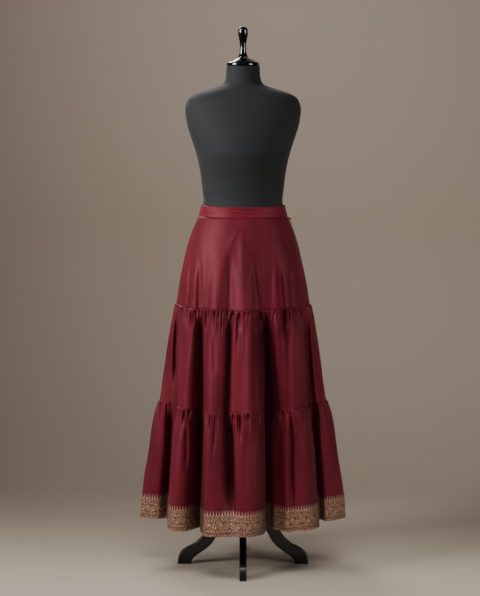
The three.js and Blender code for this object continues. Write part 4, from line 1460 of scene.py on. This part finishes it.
@dataclass
class SideZip:
    """The zip in the left side seam: metal slider and pull from the solids, and the coil below."""

    top: float = 1006.0
    foot: float = 830.0
    pitch: float = 2.0

    def build(self, form: SkirtForm, wardrobe: Wardrobe) -> list:
        """Dress the slider and pull, and add the coil as a row of small separate blocks down the seam."""
        for node in ("zip_slider", "zip_pull"):
            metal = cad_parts[node]
            metal.data.materials.clear()
            metal.data.materials.append(wardrobe.metal)
        count = int((self.top - self.foot) / self.pitch)
        level = self.top - self.pitch * np.arange(count)
        out = form.size(level[None], 1)[0] - 0.75
        corner = np.array([(-1, -1, -1), (1, -1, -1), (1, 1, -1), (-1, 1, -1),
                           (-1, -1, 1), (1, -1, 1), (1, 1, 1), (-1, 1, 1)], dtype=float)
        size = np.array([0.35, 0.9, 0.55])
        middle = np.stack([out, 0 * out, level], axis=-1)
        points = (middle[:, None] + corner * size).reshape(-1, 3)
        box = np.array([(0, 3, 2, 1), (4, 5, 6, 7), (0, 1, 5, 4), (1, 2, 6, 5), (2, 3, 7, 6), (3, 0, 4, 7)])
        faces = (np.arange(count)[:, None, None] * 8 + box[None]).reshape(-1, 4)
        return [dress(mesh_object("zip_coil", points, faces.tolist()), wardrobe.coil)]


# ------------------------------------------------------------------ studio


@dataclass(frozen=True)
class SoftLight:
    """A soft white light: where it stands and aims, its width and height, and its beam in degrees."""

    name: str
    place: tuple
    aim: tuple
    size: tuple
    watts: float
    spread: float


@dataclass
class Studio:
    """Camera, seamless painted sweep and soft lights. The camera and the lights are in metres."""

    eye: tuple = (-0.0085, -5.0, 1.4)
    pitch: float = 7.122
    lens: float = 106.85
    paint: str = "#AC9D8D"
    wall_at: float = 1750.0
    wall_top: float = 6000.0
    sweep_radius: float = 850.0
    half_width: float = 9000.0
    lights: tuple = (
        SoftLight("key", (-3.3, -1.6, 2.4), (0.0, 0.0, 1.6), (1.4, 2.0), 34, 60),
        SoftLight("fill", (3.5, -2.3, 1.8), (0.0, 0.0, 1.05), (1.5, 2.0), 9.2, 60),
        SoftLight("top", (0.2, -1.5, 2.4), (0.2, -1.0, 0.0), (2.0, 0.9), 14, 72),
        SoftLight("floor", (-1.6, -0.9, 2.2), (-1.5, -0.5, 0.0), (0.8, 0.8), 8.5, 64),
        SoftLight("wall", (-0.1, 0.35, 2.9), (-0.1, 1.75, 1.2), (1.4, 0.4), 4.2, 110),
        SoftLight("back", (-0.7, 1.5, 2.4), (0.0, 0.1, 0.85), (1.2, 0.6), 3.6, 46),
    )

    def camera(self) -> None:
        """A level-standing camera that looks down a little on the whole form."""
        data = bpy.data.cameras.new("camera")
        data.lens = self.lens
        data.sensor_width = 36.0
        camera = bpy.data.objects.new("camera", data)
        camera.location = self.eye
        camera.rotation_euler = (np.radians(90 - self.pitch), 0, 0)
        bpy.context.scene.collection.objects.link(camera)
        bpy.context.scene.camera = camera

    def sweep(self) -> None:
        """Floor that curves up into a wall behind: a profile carried across the room."""
        turn = np.linspace(0, np.pi / 2, 32)
        rise = self.wall_at + self.sweep_radius * (np.sin(turn) - 1)
        y = np.concatenate([[-self.half_width], rise, [self.wall_at]])
        z = np.concatenate([[0], self.sweep_radius * (1 - np.cos(turn)), [self.wall_top]])
        x = np.array([-self.half_width, self.half_width])
        grid = np.stack([np.broadcast_to(x, (len(y), 2)), np.broadcast_to(y[:, None], (len(y), 2)),
                         np.broadcast_to(z[:, None], (len(y), 2))], axis=-1)
        floor = mesh_object("studio_sweep", grid.reshape(-1, 3), grid_faces(len(y), 2)[:, ::-1].tolist())
        floor.data.materials.append(StudioFinish("studio_paint", self.paint).make())

    def light(self, lamp: SoftLight) -> None:
        """A rectangular soft light turned to face its aim."""
        data = bpy.data.lights.new(lamp.name, "AREA")
        data.shape = "RECTANGLE"
        data.size, data.size_y = lamp.size
        data.energy = lamp.watts
        data.spread = np.radians(lamp.spread)
        lit = bpy.data.objects.new(lamp.name, data)
        toward = np.array(lamp.aim) - np.array(lamp.place)
        toward /= np.linalg.norm(toward)
        lit.location = lamp.place
        lit.rotation_euler = (np.arccos(-toward[2]), 0, np.arctan2(toward[1], toward[0]) - np.pi / 2)
        bpy.context.scene.collection.objects.link(lit)

    def build(self) -> None:
        """Set up the room, its lights and its dim air."""
        self.sweep()
        for lamp in self.lights:
            self.light(lamp)
        world = bpy.data.worlds.new("studio_air")
        world.use_nodes = True
        world.node_tree.nodes["Background"].inputs["Color"].default_value = linear("#8C8880")
        world.node_tree.nodes["Background"].inputs["Strength"].default_value = 0.03
        bpy.context.scene.world = world


# ------------------------------------------------------------------ assembly


def main() -> None:
    """Build the room, the form and the skirt, and report each piece."""
    logging.basicConfig(level=logging.INFO, format="%(message)s")
    studio = Studio()
    studio.camera()
    wardrobe = Wardrobe()
    skirt = Skirt()
    pieces = DressForm().build(wardrobe) + Stand().build(wardrobe)
    pieces += skirt.build(wardrobe) + SideZip().build(skirt.form, wardrobe)
    studio.build()
    for piece in pieces:
        log.info("%s: %d faces", piece.name, len(piece.data.polygons))


if __name__ == "__main__":
    main()
